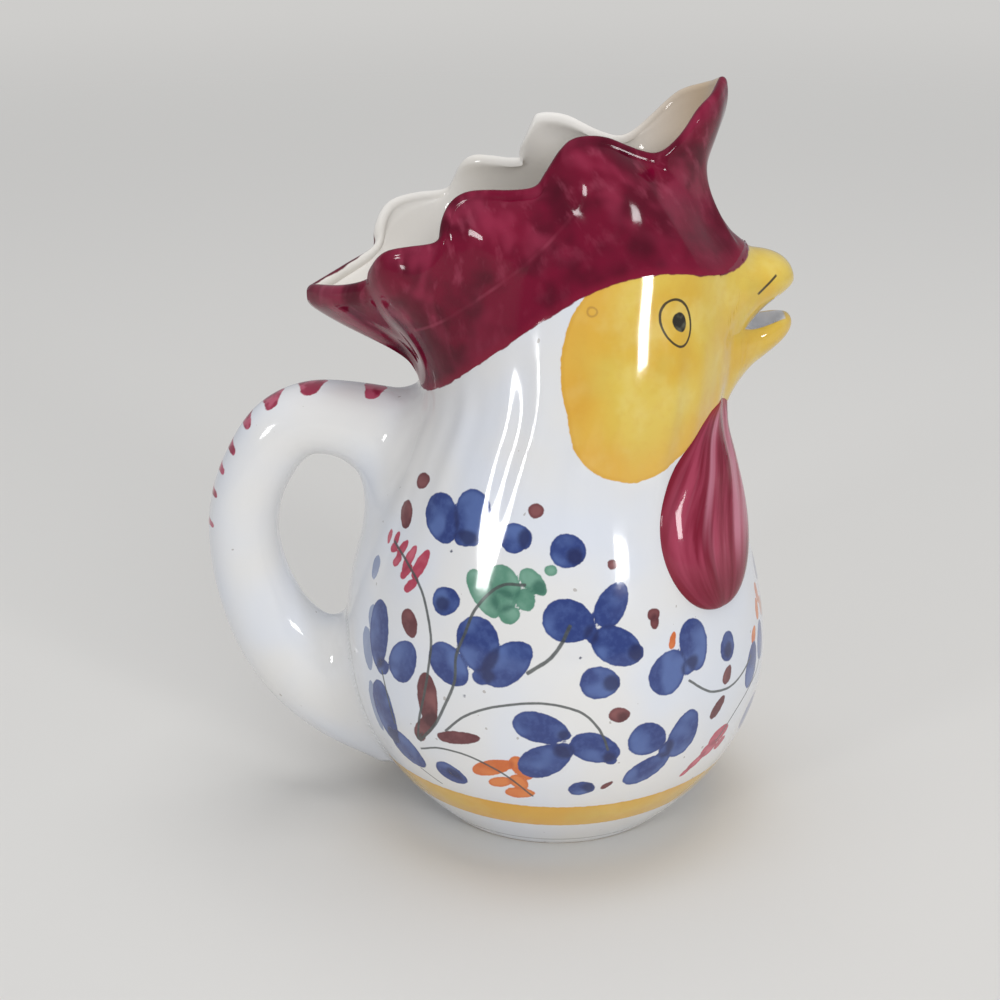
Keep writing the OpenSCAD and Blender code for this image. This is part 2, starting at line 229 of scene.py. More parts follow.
# Each dab of the brush: angle round from the beak, height, length, width, lean
blue_dabs = [
    (130, 97.3, 13.7, 10.2, -48), (119, 99.3, 14.5, 10.5, -84), (120, 94.2, 7.0, 4.2, 8),
    (104, 96.1, 7.9, 7.6, 17), (101, 96.0, 5.1, 3.6, -87),
    (123, 78.1, 8.4, 7.4, 17), (124, 77.2, 4.4, 3.8, 23),
    (146, 62.6, 19.0, 9.0, -84), (135, 59.0, 13.0, 9.6, 62), (143, 54.6, 6.0, 4.6, 20),
    (120, 62.2, 13.4, 9.6, -36), (112, 68.9, 15.0, 11.6, -70), (104, 65.1, 15.6, 10.0, 42),
    (110, 61.0, 6.4, 4.4, 12),
    (143, 41.0, 18.5, 9.5, -76), (136, 31.8, 13.5, 9.0, -34), (141, 34.6, 5.5, 4.0, -40),
    (121, 29.1, 9.8, 6.8, -22), (120, 29.4, 5.0, 3.4, -30),
    (95, 48.3, 14.9, 8.6, -14), (94, 38.4, 15.0, 9.8, 30), (81, 42.0, 14.2, 8.6, -24),
    (89, 41.8, 5.4, 4.8, -20), (89, 46.4, 3.5, 3.0, 0), (77, 38.4, 4.8, 3.3, -50),
    (84, 28.8, 7.0, 5.4, 8), (82, 29.0, 4.2, 3.2, -60),
    (88, 93.5, 9.3, 8.7, -12), (86, 92.1, 4.4, 4.0, -60),
    (88, 76.4, 13.5, 11.1, -17), (76, 79.9, 12.6, 7.9, 58), (75, 69.2, 14.5, 9.6, -30),
    (70, 67.2, 4.7, 4.2, -62), (82, 73.0, 4.8, 3.6, -80),
    (80, 60.4, 10.6, 8.6, -8), (77, 60.0, 4.6, 4.2, -40),
    (52, 65.4, 14.4, 9.4, -84), (61, 60.3, 12.6, 10.6, 50), (54, 60.6, 6.2, 4.0, 30),
    (39, 61.0, 8.2, 6.4, 78), (39, 60.0, 4.2, 3.4, 70),
    (67, 42.6, 11.4, 9.8, -20), (56, 41.4, 14.4, 9.4, 68), (66, 32.7, 14.0, 7.6, 28),
    (61, 38.2, 5.6, 4.2, 60),
    (26, 50.5, 13.0, 7.6, 62), (17, 54.0, 11.0, 6.6, 78), (6, 71.6, 8.6, 6.0, 70),
    (22, 34.6, 12.0, 7.4, 40), (0, 44.0, 12.0, 8.2, -62), (-11, 47.0, 12.4, 8.4, 50),
    (-5, 40.0, 5.0, 4.0, 0), (-13, 66.0, 7.4, 6.6, 0), (2, 29.0, 8.0, 6.0, 10),
]
pale_blue_dabs = [(154, 78.3, 6.6, 4.0, -88), (151, 56.6, 12.0, 5.6, -72), (150, 65.7, 7.4, 4.6, -80),
                  (148, 40.6, 15.0, 4.4, -80)]
berry_dabs = [
    (143, 104.1, 5.0, 4.2, 20), (146, 94.7, 7.6, 5.0, -62), (98, 103.0, 4.1, 3.8, 9),
    (134, 69.6, 7.9, 5.4, -56), (117, 42.2, 13.2, 3.9, 12), (126, 50.7, 15.5, 6.6, -84),
    (127, 43.0, 12.0, 4.4, 50), (129, 38.8, 4.0, 2.6, 30), (75, 89.7, 2.8, 2.6, 0),
    (64, 75.9, 3.8, 3.2, 0), (64, 74.2, 4.2, 2.4, 88), (40, 53.3, 5.4, 3.7, 55),
    (75, 51.2, 5.9, 4.1, -6), (74, 50.6, 3.1, 2.8, 0), (44, 45.3, 7.4, 3.4, 42),
    (77, 29.2, 4.0, 1.7, 40), (10, 60.5, 4.8, 3.8, 20), (-3, 56.0, 4.2, 3.6, 60),
]
pink_dabs = [
    (151, 87.6, 4.0, 2.0, -84), (147, 88.3, 3.8, 2.2, 84), (147, 85.7, 3.4, 2.4, 20),
    (143, 86.8, 5.6, 2.6, 62), (144, 83.3, 4.2, 2.5, 54), (139, 85.2, 8.3, 3.0, 70),
    (139, 81.8, 5.6, 2.5, 54), (134, 84.9, 9.4, 3.7, 68), (136, 79.1, 6.0, 2.7, 46),
    (41, 35.4, 8.6, 5.2, 20), (44, 32.2, 7.0, 4.4, 24), (48, 29.4, 7.2, 2.8, 38),
    (51, 27.0, 4.6, 2.0, 40), (39, 32.0, 5.0, 2.8, 34),
]
leaf_green_dabs = [
    (112, 81.7, 14.0, 6.2, -52), (106, 85.3, 9.9, 6.8, -42), (98, 85.9, 8.4, 4.9, -40),
    (96, 84.4, 4.4, 3.5, -50), (100, 81.4, 6.0, 5.2, -60), (104, 77.5, 5.4, 5.0, 0),
    (106, 80.8, 6.4, 6.0, 0), (93, 88.8, 3.3, 2.9, 0),
]
orange_dabs = [
    (108, 34.6, 12.6, 5.0, 24), (100, 35.6, 8.6, 5.0, -56), (106, 30.0, 7.4, 3.7, 20),
    (101, 26.6, 8.0, 4.4, 6), (101, 30.6, 6.0, 4.6, -50),
    (14, 66.4, 6.6, 3.0, -80), (11, 61.6, 6.4, 3.4, -70), (17, 63.0, 6.0, 3.6, 80),
    (23, 58.0, 5.2, 3.4, 50), (59, 68.2, 4.6, 2.0, 70),
]
tiny_dabs = [(124, 90.4, 1.0, 0.9, 0), (115, 54.8, 1.0, 0.9, 0), (85, 67.2, 0.9, 0.8, 0)]
# Stems as lines of points, angle and height, with half of the line's width
stems = [
    (0.40, [(147, 87), (140, 84.3), (133, 80), (129, 75), (126, 67.5), (126, 60), (127, 52.5),
            (129, 44), (130, 38.5)]),
    (0.42, [(101, 85), (106, 84.7), (110, 82.3), (114, 77.3), (116, 71.3), (118, 65), (118, 58),
            (121, 50), (124, 44), (129, 38)]),
    (0.50, [(88, 74.7), (90, 70.8), (93, 67), (98, 63.5)]),
    (0.34, [(120, 44), (115, 49), (108, 52.8), (99, 55), (92, 55), (85, 52.8), (81, 48.8), (79, 45),
            (78, 42)]),
    (0.30, [(129, 35), (123, 37.2), (115, 37.2), (108, 34.7), (103, 31.4), (98, 26.3)]),
    (0.28, [(143, 52.6), (141, 47), (139, 40)]),
    (0.20, [(132, 26.3), (127, 23.8)]),
    (0.34, [(54, 56), (50, 52.8), (46, 50.6), (39, 49.4), (33, 50.5), (27, 53)]),
    (0.26, [(17, 51), (21, 47), (27, 44.4), (35, 40), (41, 34.4)]),
    (0.30, [(8, 66), (6, 60), (4, 52), (-2, 45)]),
]
# A stem's line is marked as if all were this wide, by half
stem_half = 0.36
# The yellow face, from the comb's edge down round the cheek to the throat
face_edge = [(76, 163), (80, 157), (85, 152.4), (88.6, 147), (90.6, 140), (90.2, 133), (88.4, 127),
             (86.4, 119), (82.4, 114.4), (77.7, 111.6), (71.8, 110), (65.2, 109), (56.9, 110.4),
             (49.8, 112.6), (42, 115.5), (32, 117.5), (18, 118), (8, 118), (0, 118)]
band_low, band_high = 12.5, 21.5
# The cheek's radius, at which the face is laid out flat, and a distance at which no stroke is near
cheek_r, far = 38, 9.0

outer = body_rings[first_outside:last_outside + 1]
outer_z = outer[..., 2]
outer_angle = np.degrees(np.arctan2(-outer[..., 1], outer[..., 0]))
outer_r = np.hypot(outer[..., 0], outer[..., 1])
heights = np.linspace(0, 170, 341)
profile = np.concatenate([[0], np.cumsum(np.hypot(np.diff(belly_curve(heights)), np.diff(heights)))])


def up_the_side(z):
    """Length along the profile from the table up to a height."""
    return np.interp(z, heights, profile)


outer_up = up_the_side(outer_z)
# On the left side the same hand repeats the pattern, and nothing falls quite in the same place
shift_angle = 2.4 * np.sin(outer_z / 13) - 1.5
shift_up = 1.3 * np.sin(outer_angle / 11)
all_round = dict(angle=outer_angle, up=outer_up, r=outer_r)
far_side = dict(angle=outer_angle + shift_angle, up=outer_up + shift_up, r=outer_r)
pattern_from = 33


def dab_distance(dab, where, side=1):
    """Distance from a dab's edge in millimetres, less than nothing inside."""
    angle, z, length, width, lean = dab
    off = (where["angle"] - side * angle + 180) % 360 - 180
    forward = -side * np.radians(off) * where["r"]
    up = where["up"] - up_the_side(z)
    u = (forward * cosd(lean) + up * sind(lean)) / (length / 2)
    v = (up * cosd(lean) - forward * sind(lean)) / (width / 2)
    # the brush is pressed at one end, which leaves the dab a little egg-shaped
    v = v * (1 + 0.12 * u)
    k = np.maximum(np.hypot(u, v), 1e-6)
    slope = np.hypot(u / (length / 2), v / (width / 2))
    return (k - 1) * k / np.maximum(slope, 1e-6)


def dabs_on_both_sides(dabs):
    """Distances to the nearest dab, and to the second where two lie over each other."""
    near = np.full(outer_z.shape, far)
    second = np.full(outer_z.shape, far)
    for dab in dabs:
        found = [dab_distance(dab, all_round)]
        if dab[0] >= pattern_from:
            found.append(dab_distance(dab, far_side, side=-1))
        for d in found:
            second = np.minimum(second, np.maximum(near, d))
            near = np.minimum(near, d)
    return near, second


def smooth_line(points, steps=10):
    """A smooth curve through points of angle and height."""
    p = np.array(points, dtype=float)
    p = np.vstack([2 * p[0] - p[1], p, 2 * p[-1] - p[-2]])
    out = []
    for a, b, c, d in zip(p[:-3], p[1:-2], p[2:-1], p[3:]):
        for s in np.arange(steps) / steps:
            out.append(b + (c - a) * s / 2 + (2 * a - 5 * b + 4 * c - d) * s * s / 2
                       + (3 * b - a - 3 * c + d) * s ** 3 / 2)
    return np.vstack(out + [p[-2]])


def line_distance(line, where, side=1):
    """Signed distance across a brushed line, and plain distance from it."""
    r = belly_curve(line[:, 1])
    best = np.full(where["r"].shape, far)
    across = np.full(where["r"].shape, far)
    middle = line[:, 0].mean()
    off = (where["angle"] - side * middle + 180) % 360 - 180
    close = np.abs(off) < np.ptp(line[:, 0]) / 2 + 8
    px = -side * np.radians(off[close]) * where["r"][close]
    py = where["up"][close]
    lx = np.radians(middle - line[:, 0]) * r
    ly = up_the_side(line[:, 1])
    b, s = np.full(px.shape, far), np.full(px.shape, far)
    for k in range(len(line) - 1):
        tx, ty = lx[k + 1] - lx[k], ly[k + 1] - ly[k]
        length = max(np.hypot(tx, ty), 1e-6)
        tx, ty = tx / length, ty / length
        along = np.clip((px - lx[k]) * tx + (py - ly[k]) * ty, 0, length)
        qx, qy = px - lx[k] - along * tx, py - ly[k] - along * ty
        d = np.hypot(qx, qy)
        nearer = d < b
        b = np.where(nearer, d, b)
        s = np.where(nearer, (px - lx[k]) * ty - (py - ly[k]) * tx, s)
    best[close], across[close] = b, s
    return across, best


stem_across = np.full(outer_z.shape, far)
stem_gap = np.full(outer_z.shape, far)
for half_width, points in stems:
    line = smooth_line(points)
    found = [line_distance(line, all_round)]
    if min(p[0] for p in points) >= pattern_from - 8:
        found.append(line_distance(line, far_side, side=-1))
    for across, gap in found:
        nearer = gap < stem_gap
        stem_gap = np.where(nearer, gap, stem_gap)
        stem_across = np.where(nearer, across * stem_half / half_width, stem_across)

# the face is the same on both cheeks; its outline is closed over the beak and the top of the head
cheek = smooth_line(face_edge, 6) * (np.radians(cheek_r), 1)
cheek = np.vstack([cheek, [(-12, 118), (-12, 190), (cheek[0, 0], 190)]])
px, py = np.radians(np.abs(outer_angle)) * cheek_r, outer_z
face_gap = np.full(outer_z.shape, np.inf)
within = np.zeros(outer_z.shape, dtype=bool)
for (ax, ay), (bx, by) in zip(cheek, np.roll(cheek, -1, axis=0)):
    length2 = max((bx - ax) ** 2 + (by - ay) ** 2, 1e-9)
    t = np.clip(((px - ax) * (bx - ax) + (py - ay) * (by - ay)) / length2, 0, 1)
    face_gap = np.minimum(face_gap, np.hypot(px - ax - t * (bx - ax), py - ay - t * (by - ay)))
    if ay != by:
        within ^= ((ay > py) != (by > py)) & (px < (bx - ax) * (py - ay) / (by - ay) + ax)
face = np.where(within, -face_gap, face_gap)
band_mid = (up_the_side(band_low) + up_the_side(band_high)) / 2
band_half = band_mid - up_the_side(band_low)
band = np.abs(outer_up - band_mid - 0.25 * np.sin(outer_angle / 17)) - band_half
yellow = np.minimum(face, band)

both_eyes = dict(angle=np.abs(outer_angle), up=outer_up, r=outer_r)
eye_ring = dab_distance((48.0, 148.1, 11.8, 8.8, -80), both_eyes)
pupil = dab_distance((47, 148.2, 5.0, 4.2, -70), both_eyes)
# a bubble burst in the glaze behind one eye and left a faint ring
bubble = dab_distance((78.5, 152.2, 2.4, 2.2, 0), all_round)
# crimson of the comb runs a little over its edge onto the head
seam_gap = np.minimum(np.linalg.norm(outer - outer[-1][None], axis=-1), far)

strokes = dict(stem_across=stem_across, stem_gap=stem_gap, yellow=yellow, eye_ring=eye_ring,
               pupil=pupil, bubble=bubble, comb_edge=seam_gap)
for name, dabs in dict(blue=blue_dabs, berry=berry_dabs, pink=pink_dabs, leaf_green=leaf_green_dabs,
                       orange=orange_dabs).items():
    strokes[name], strokes[name + "_twice"] = dabs_on_both_sides(dabs)
strokes["pale_blue"], _ = dabs_on_both_sides(pale_blue_dabs)
strokes["tiny"], _ = dabs_on_both_sides(tiny_dabs)

inner_glaze = np.zeros(body_rings.shape[:2])
inner_glaze[last_outside + 1:] = 1
for name, values in strokes.items():
    on_whole_body = np.full(body_rings.shape[:2], far)
    on_whole_body[first_outside:last_outside + 1] = values
    strokes[name] = on_whole_body
mark(body, inner_glaze=inner_glaze, **strokes)


def paint(r, g, b):
    """A colour as mixed on the palette, 0 to 255, for the shader."""
    c = np.array([r, g, b]) / 255
    return tuple(np.where(c <= 0.04045, c / 12.92, ((c + 0.055) / 1.055) ** 2.4)) + (1.0,)


class Glaze:
    """One glaze: its colours are laid over each other from the white ground up, and then it is fired."""

    def __init__(self, name, roughness, coat):
        self.material = bpy.data.materials.new(name)
        self.material.use_nodes = True
        self.tree = self.material.node_tree
        self.shader = self.tree.nodes["Principled BSDF"]
        self.shader.inputs["IOR"].default_value = 1.5
        self.shader.inputs["Coat Weight"].default_value = coat
        self.shader.inputs["Coat Roughness"].default_value = 0.03
        self.roughness = roughness
        self.place = self.tree.nodes.new("ShaderNodeTexCoord").outputs["Object"]

    def link(self, value, socket):
        if isinstance(value, bpy.types.NodeSocket):
            self.tree.links.new(value, socket)
        else:
            socket.default_value = value

    def read(self, name, vector=False):
        node = self.tree.nodes.new("ShaderNodeAttribute")
        node.attribute_name = name
        return node.outputs["Vector" if vector else "Fac"]

    def reckon(self, kind, a, b):
        node = self.tree.nodes.new("ShaderNodeMath")
        node.operation = kind
        self.link(a, node.inputs[0])
        self.link(b, node.inputs[1])
        return node.outputs[0]

    def plus(self, a, b):
        return self.reckon("ADD", a, b)

    def less(self, a, b):
        return self.reckon("SUBTRACT", a, b)

    def times(self, a, b):
        return self.reckon("MULTIPLY", a, b)

    def spread(self, value, low, high, out_low, out_high):
        """A value between low and high, carried over softly to another range."""
        node = self.tree.nodes.new("ShaderNodeMapRange")
        node.interpolation_type = "SMOOTHSTEP"
        for k, v in enumerate([value, low, high, out_low, out_high]):
            self.link(v, node.inputs[k])
        return node.outputs[0]

    def cloud(self, size, detail=2.0, where=None, stretch=None):
        """Even noise from 0 to 1 with features of that size in millimetres."""
        source = self.place if where is None else where
        if stretch:
            scale = self.tree.nodes.new("ShaderNodeVectorMath")
            scale.operation = "MULTIPLY"
            self.link(source, scale.inputs[0])
            scale.inputs[1].default_value = stretch
            source = scale.outputs[0]
        node = self.tree.nodes.new("ShaderNodeTexNoise")
        self.link(source, node.inputs["Vector"])
        node.inputs["Scale"].default_value = 1 / (size * (mm if where is None else 1))
        node.inputs["Detail"].default_value = detail
        return node.outputs["Fac"]

    def patches(self, size, low, high, most=1, detail=2.0, where=None, stretch=None):
        """Cloudy patches of that size, from 0 between them up to their most."""
        return self.spread(self.cloud(size, detail, where, stretch), low, high, 0, most)

    def blend(self, share, under, over):
        node = self.tree.nodes.new("ShaderNodeMix")
        node.data_type = "RGBA"
        self.link(share, node.inputs[0])
        self.link(under, node.inputs[6])
        self.link(over, node.inputs[7])
        return node.outputs[2]

    def inside_of(self, distance, wobble, soft=0.18, strength=1.0):
        """1 within a brushed edge and 0 outside it, with a slightly uneven line."""
        moved = self.plus(distance, wobble)
        return self.spread(moved, -soft, soft, strength, 0.0)

    def thin_line(self, name, full, gone, strength, wobble=None):
        """A line drawn with the tip of the brush, where the distance across it is near nothing."""
        across = self.read(name)
        if wobble is not None:
            across = self.plus(across, self.times(wobble, 0.3))
        return self.spread(self.reckon("ABSOLUTE", across, 0), full, gone, strength, 0.0)

    def fire(self, colour, ripple=0.05):
        """Joins the colour, the uneven gloss and the faint ripple of the fired glaze."""
        self.link(colour, self.shader.inputs["Base Color"])
        uneven = self.spread(self.cloud(9, 3), 0.3, 0.7, self.roughness * 0.7, self.roughness * 1.5)
        self.link(uneven, self.shader.inputs["Roughness"])
        fine, broad = self.cloud(2.2, 2), self.cloud(11, 1)
        bump = self.tree.nodes.new("ShaderNodeBump")
        bump.inputs["Strength"].default_value = 1.0
        bump.inputs["Distance"].default_value = ripple * mm
        self.link(self.plus(self.times(fine, 0.12), broad), bump.inputs["Height"])
        self.link(bump.outputs[0], self.shader.inputs["Normal"])
        if self.shader.inputs["Coat Weight"].default_value:
            self.link(bump.outputs[0], self.shader.inputs["Coat Normal"])
        return self.material


def white_ground(g):
    """The white of the glaze: cool where it is thin, creamier where it pools, with a few iron specks."""
    ground = g.blend(g.patches(38, 0.35, 0.65), paint(222, 226, 234), paint(229, 228, 226))
    return g.blend(g.patches(1.7, 0.855, 0.87, 0.45, detail=0), ground, paint(120, 100, 80))


def yellow_brushwork(g):
    """Thin yellow over the white: warmer where the brush lingered, faintly green where it ran thin."""
    yellow = g.blend(g.patches(24, 0.40, 0.62, detail=1), paint(220, 178, 62), paint(224, 194, 82))
    yellow = g.blend(g.patches(9, 0.44, 0.72, 0.5, detail=3), yellow, paint(230, 208, 118))
    ran_thin = g.patches(17, 0.56, 0.72, 0.40, detail=1, stretch=(1.3, 1, 0.8))
    yellow = g.blend(ran_thin, yellow, paint(204, 188, 92))
    return g.blend(g.patches(2.2, 0.45, 0.70, 0.14, detail=3), yellow, paint(210, 160, 60))


def wobble_of(g, size=1.6, amount=0.30):
    """How far a brushed edge strays to either side, in millimetres."""
    return g.times(g.less(g.cloud(size, 2), 0.5), 2 * amount)


def brush_layer(g, under, name, thin, full, twice, wobble):
    """A pigment laid in watery dabs: lighter to one side, darker at the rim, darkest where dabs overlap."""
    edge = g.read(name)
    pigment = g.blend(g.patches(8, 0.40, 0.66, 0.8, detail=1), full, thin)
    pigment = g.blend(g.patches(1.5, 0.40, 0.70, 0.22, detail=3), pigment, thin)
    pigment = g.blend(g.spread(edge, -1.1, -0.1, 0.0, 0.6), pigment, full)
    lapped = g.inside_of(g.read(name + "_twice"), wobble, soft=0.8, strength=0.8)
    pigment = g.blend(lapped, pigment, twice)
    return g.blend(g.inside_of(edge, wobble), under, pigment)


g = Glaze("painted_white_glaze", roughness=0.09, coat=0.5)
wobble = wobble_of(g)
tone = g.blend(g.times(g.read("inner_glaze"), 0.75), white_ground(g), paint(222, 213, 200))
# the yellow is warmer towards its edge, and gathers in a darker rim
to_edge = g.read("yellow")
yellow_tone = g.blend(g.spread(to_edge, -13, -1, 0, 0.42), yellow_brushwork(g), paint(226, 156, 50))
yellow_tone = g.blend(g.spread(to_edge, -1.3, -0.1, 0, 0.35), yellow_tone, paint(206, 146, 40))
tone = g.blend(g.inside_of(to_edge, wobble), tone, yellow_tone)
tone = g.blend(g.inside_of(g.read("pale_blue"), wobble, strength=0.8), tone, paint(104, 124, 168))
for name, thin, full, twice in (
        ("berry", (140, 84, 84), (98, 44, 50), (72, 28, 36)),
        ("pink", (205, 104, 122), (178, 60, 84), (150, 40, 66)),
        ("leaf_green", (126, 170, 150), (86, 138, 116), (48, 100, 84)),
        ("orange", (226, 136, 72), (205, 104, 46), (184, 84, 36)),
        ("blue", (88, 112, 170), (38, 58, 122), (22, 30, 80))):
    tone = brush_layer(g, tone, name, paint(*thin), paint(*full), paint(*twice), wobble)
near_stem = g.spread(g.read("stem_gap"), 0.9, 1.2, 1.0, 0.0)
stem_share = g.times(g.thin_line("stem_across", 0.22, 0.50, 0.9, wobble), near_stem)
tone = g.blend(stem_share, tone, g.blend(g.cloud(1.2, 2), paint(40, 44, 46), paint(92, 98, 96)))
tone = g.blend(g.inside_of(g.read("tiny"), 0.0, strength=0.9), tone, paint(52, 58, 84))
tone = g.blend(g.thin_line("eye_ring", 0.20, 0.42, 0.95, wobble), tone, paint(46, 38, 24))
# the pupil is nearly black; its paler grey-green patches are partly uneven paint and partly a painted glint
pupil_with_painted_glint = g.blend(g.patches(2.4, 0.48, 0.68, 0.7, detail=1), paint(34, 30, 18), paint(96, 96, 78))
tone = g.blend(g.inside_of(g.read("pupil"), g.times(wobble, 0.5)), tone, pupil_with_painted_glint)
tone = g.blend(g.thin_line("bubble", 0.05, 0.45, 0.55), tone, paint(168, 122, 58))
comb_wobble = g.times(g.less(g.cloud(4, 2), 0.42), 1.6)
comb_on_head = g.inside_of(g.less(g.read("comb_edge"), 0.35), comb_wobble, soft=0.2)
tone = g.blend(comb_on_head, tone, paint(122, 16, 46))
body.data.materials.append(g.fire(tone))

# THE FOOT RING. A low ring is left at the foot when the base is trimmed. Its sides are glazed,
# and the flat that stands on the table is wiped back to the bare buff clay.

foot_top_r = foot_r + foot_flare
foot_bevel = 0.5
foot_profile = [
    (foot_r - foot_w - foot_flare / 2, foot_h), (foot_r - foot_w - foot_bevel, foot_bevel),
    (foot_r - foot_w - 0.15, 0.12), (foot_r - foot_w + foot_bevel, 0.0),
    (foot_r - foot_w / 2, 0.0), (foot_r - foot_bevel, 0.0), (foot_r - 0.12, 0.12),
    (foot_r + foot_bevel * foot_flare / foot_h, foot_bevel + 0.1), (foot_r + foot_flare / 2, foot_h / 2),
    (foot_top_r, foot_h),
]
foot_steps = 5
fine_profile = []
for (r0, z0), (r1, z1) in zip(foot_profile, foot_profile[1:]):
    fine_profile += [(mix(r0, r1, k / foot_steps), mix(z0, z1, k / foot_steps)) for k in range(foot_steps)]
fine_profile.append(foot_profile[-1])
foot_rings = np.array([xyz(r * cosd(around[::2]), r * sind(around[::2]), z) for r, z in fine_profile])
foot = skin("foot_glazed", foot_rings, looped=True)
mark(foot, bare=np.array([[z] * foot_rings.shape[1] for _, z in fine_profile]))
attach(foot, "root")
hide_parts("foot_ring")

g = Glaze("foot_glaze", roughness=0.10, coat=0.3)
clay = g.blend(g.patches(0.8, 0.35, 0.65, detail=4), paint(196, 172, 146), paint(214, 194, 170))
wiped = g.inside_of(g.less(g.read("bare"), 0.22), wobble_of(g, 2.5, 0.12), soft=0.06)
foot.data.materials.append(g.fire(g.blend(wiped, white_ground(g), clay)))

# THE COMB. It is a wall of soft lobes that stands round the mouth and runs out into the spout
# in front and the tail behind. Its rim is rolled with a wet sponge. Outside it is brushed
# crimson in broad strokes, inside it is white.

spout_x, spout_z, tail_x, tail_z = 42.5, 204.0, 66.0, 149.5
spout_hollow, tail_hollow, lobe_set_back, lobe_drop, mouth_w = 10.0, 3.0, 9.0, 1.7, 29.8
lobe_t, lobe_curve, lobe_full, lip_roll = 2.6, 1.6, 2.4, 0.15
# The inside is sponged smooth over some degrees, and the wall thins towards the lip
blur, sponge, lip_thinner = 24, 9, 1.6
# The mould's line: a fine ridge on a small step, seen for some way to both sides of one place
mould_ridge, mould_step, mould_x, mould_half, mould_fade, no_line = 0.12, 0.25, -16, 25, 12, 99.0
crown_rows, lip_turns, crown_rows_in = 110, 16, 50
# Shares of the reach, of the mouth's half width, of the rise to the spout, and of the swelling
rim_shares = np.array([
    (1.000, 0.000, 1.000, 0.3), (0.930, 0.290, 0.950, 0.3), (0.815, 0.490, 0.890, 0.2),
    (0.695, 0.530, 0.778, 0.1), (0.580, 0.505, 0.694, 0.0), (0.485, 0.535, 0.705, 0.4),
    (0.380, 0.570, 0.738, 0.8), (0.273, 0.603, 0.774, 1.0), (0.163, 0.628, 0.785, 1.0),
    (0.060, 0.637, 0.772, 0.9), (-0.005, 0.637, 0.725, 0.5), (-0.058, 0.652, 0.618, 0.0),
    (-0.095, 0.681, 0.555, 0.3), (-0.190, 0.710, 0.543, 0.8), (-0.268, 0.750, 0.550, 1.0),
    (-0.355, 0.798, 0.547, 0.9), (-0.408, 0.861, 0.505, 0.5), (-0.433, 0.944, 0.413, 0.0),
    (-0.467, 1.000, 0.339, 0.4), (-0.582, 0.992, 0.317, 1.0), (-0.685, 0.900, 0.283, 0.9),
    (-0.737, 0.700, 0.193, 0.5), (-0.757, 0.608, 0.112, 0.0), (-0.868, 0.400, 0.051, 0.5),
    (-1.000, 0.000, 0.000, 0.9),
])
# Where the left lobes differ: angle, width in degrees, shift forward and lift
left_lobes = [(66, 16, -1.0, 0.3), (50, 12, 0.3, 1.0), (120, 10, 2.2, 0.0), (129, 8, 0.6, 0.7),
              (143, 8, 0.0, 1.0), (154, 7, -1.2, 1.3)]


def along(table, s):
    """Smooth curve through the rows of a table, from s = 0 to 1."""
    wide = np.vstack([2 * table[0] - table[1], table, 2 * table[-1] - table[-2]])
    place = np.asarray(s, dtype=float) * (len(table) - 1)
    i = np.clip(np.floor(place).astype(int), 0, len(table) - 2)
    t = (place - i)[..., None]
    a, b, c, d = wide[i], wide[i + 1], wide[i + 2], wide[i + 3]
    return (b + (c - a) * t / 2 + (2 * a - 5 * b + 4 * c - d) * t * t / 2
            + (3 * b - a - 3 * c + d) * t ** 3 / 2)


def rim_point(a):
    """Top of the rim; the left front lobe stands a little back and lower."""
    r = along(rim_shares, fold(a) / 180)
    left = np.where(a < 180, 1, 0)
    x = r[..., 0] * np.where(r[..., 0] > 0, spout_x, tail_x) - left * lobe_set_back * bell(a, 5, 95)
    z = mix(tail_z, spout_z, r[..., 2]) - left * lobe_drop * bell(a, 20, 75)
    # the left lobes were pressed out by hand too, each with a squarer shoulder
    for at, width, shift, lift in left_lobes:
        near = left * np.exp(-((a - at) / width) ** 2)
        x, z = x + near * shift, z + near * lift
    return xyz(x, np.where(a > 180, -1, 1) * r[..., 1] * mouth_w, z)


def even_out(values, width):
    """Smooths values round the rim over a width in degrees."""
    total, weights = 0, 0
    for k in range(-60, 61):
        w = np.exp(-(k * 360 / turns / width) ** 2)
        total, weights = total + w * np.roll(values, k, axis=0), weights + w
    return total / weights


def way_out(line):
    """Level direction away from the mouth at each point of a line round it."""
    way = even_out(np.roll(line, -6, axis=0) - np.roll(line, 6, axis=0), 2.4)
    out = xyz(way[:, 1], -way[:, 0], 0)
    return out / np.linalg.norm(out, axis=1, keepdims=True)


rim_line = rim_point(around)
rim_out = way_out(rim_line)
lobes = even_out(along(rim_shares, fold(around) / 180)[:, 3], 2.0)
ends = np.clip(cosd(2 * around), 0, None) * np.where(cosd(around) > 0, spout_hollow, tail_hollow)
from_tips = rise(np.clip((fold(around) - 6) / 18, 0, 1)) * rise(np.clip((180 - fold(around)) / 10, 0, 1))


def crown_point(s, inset=0.0):
    """A ring of the comb's wall, from the head's edge up to the rim, where the notches run out quickly."""
    soft = even_out(rim_line, 0.1 + blur * max(0.0, 1 - s) ** 0.5 + 1.3 * inset)
    line = mix(rim_line, soft, from_tips[:, None])
    out = way_out(line)
    swell = lobe_t * lobes * sind(180 * s ** lobe_curve)
    hollow = ends * max(0.0, sind(180 * s ** 0.7)) ** 1.6
    rim = line - out * inset - np.array([0, 0, wall_t / 2])
    return mix(seam_point(around, inset), rim, s) + out * (swell - hollow)[:, None]


def inner_wall(s):
    """A ring of the comb's inside, smoothed with a sponge; towards the lip the wall was pinched thinner."""
    ring = crown_point(s, wall_t - lip_thinner * np.exp(-((1 - s) / 0.2) ** 2))
    return mix(ring, even_out(ring, sponge), sind(180 * s) ** 0.5)


def lip_point(turn):
    """A ring of the rounded lip, turned from the outside at 0 over to the inside at 180."""
    both = mix(crown_point(1.0), inner_wall(1.0), (1 - cosd(turn)) / 2)
    return both + np.array([0, 0, sind(turn) * wall_t / 2])


# How far the tail stands out from a straight line, from the nape up to its blunt nose
tail_form = np.array([[0, -1.0, -1.8, -1.3, 0.0, 1.3, 2.3, 2.8, 0.7]]).T


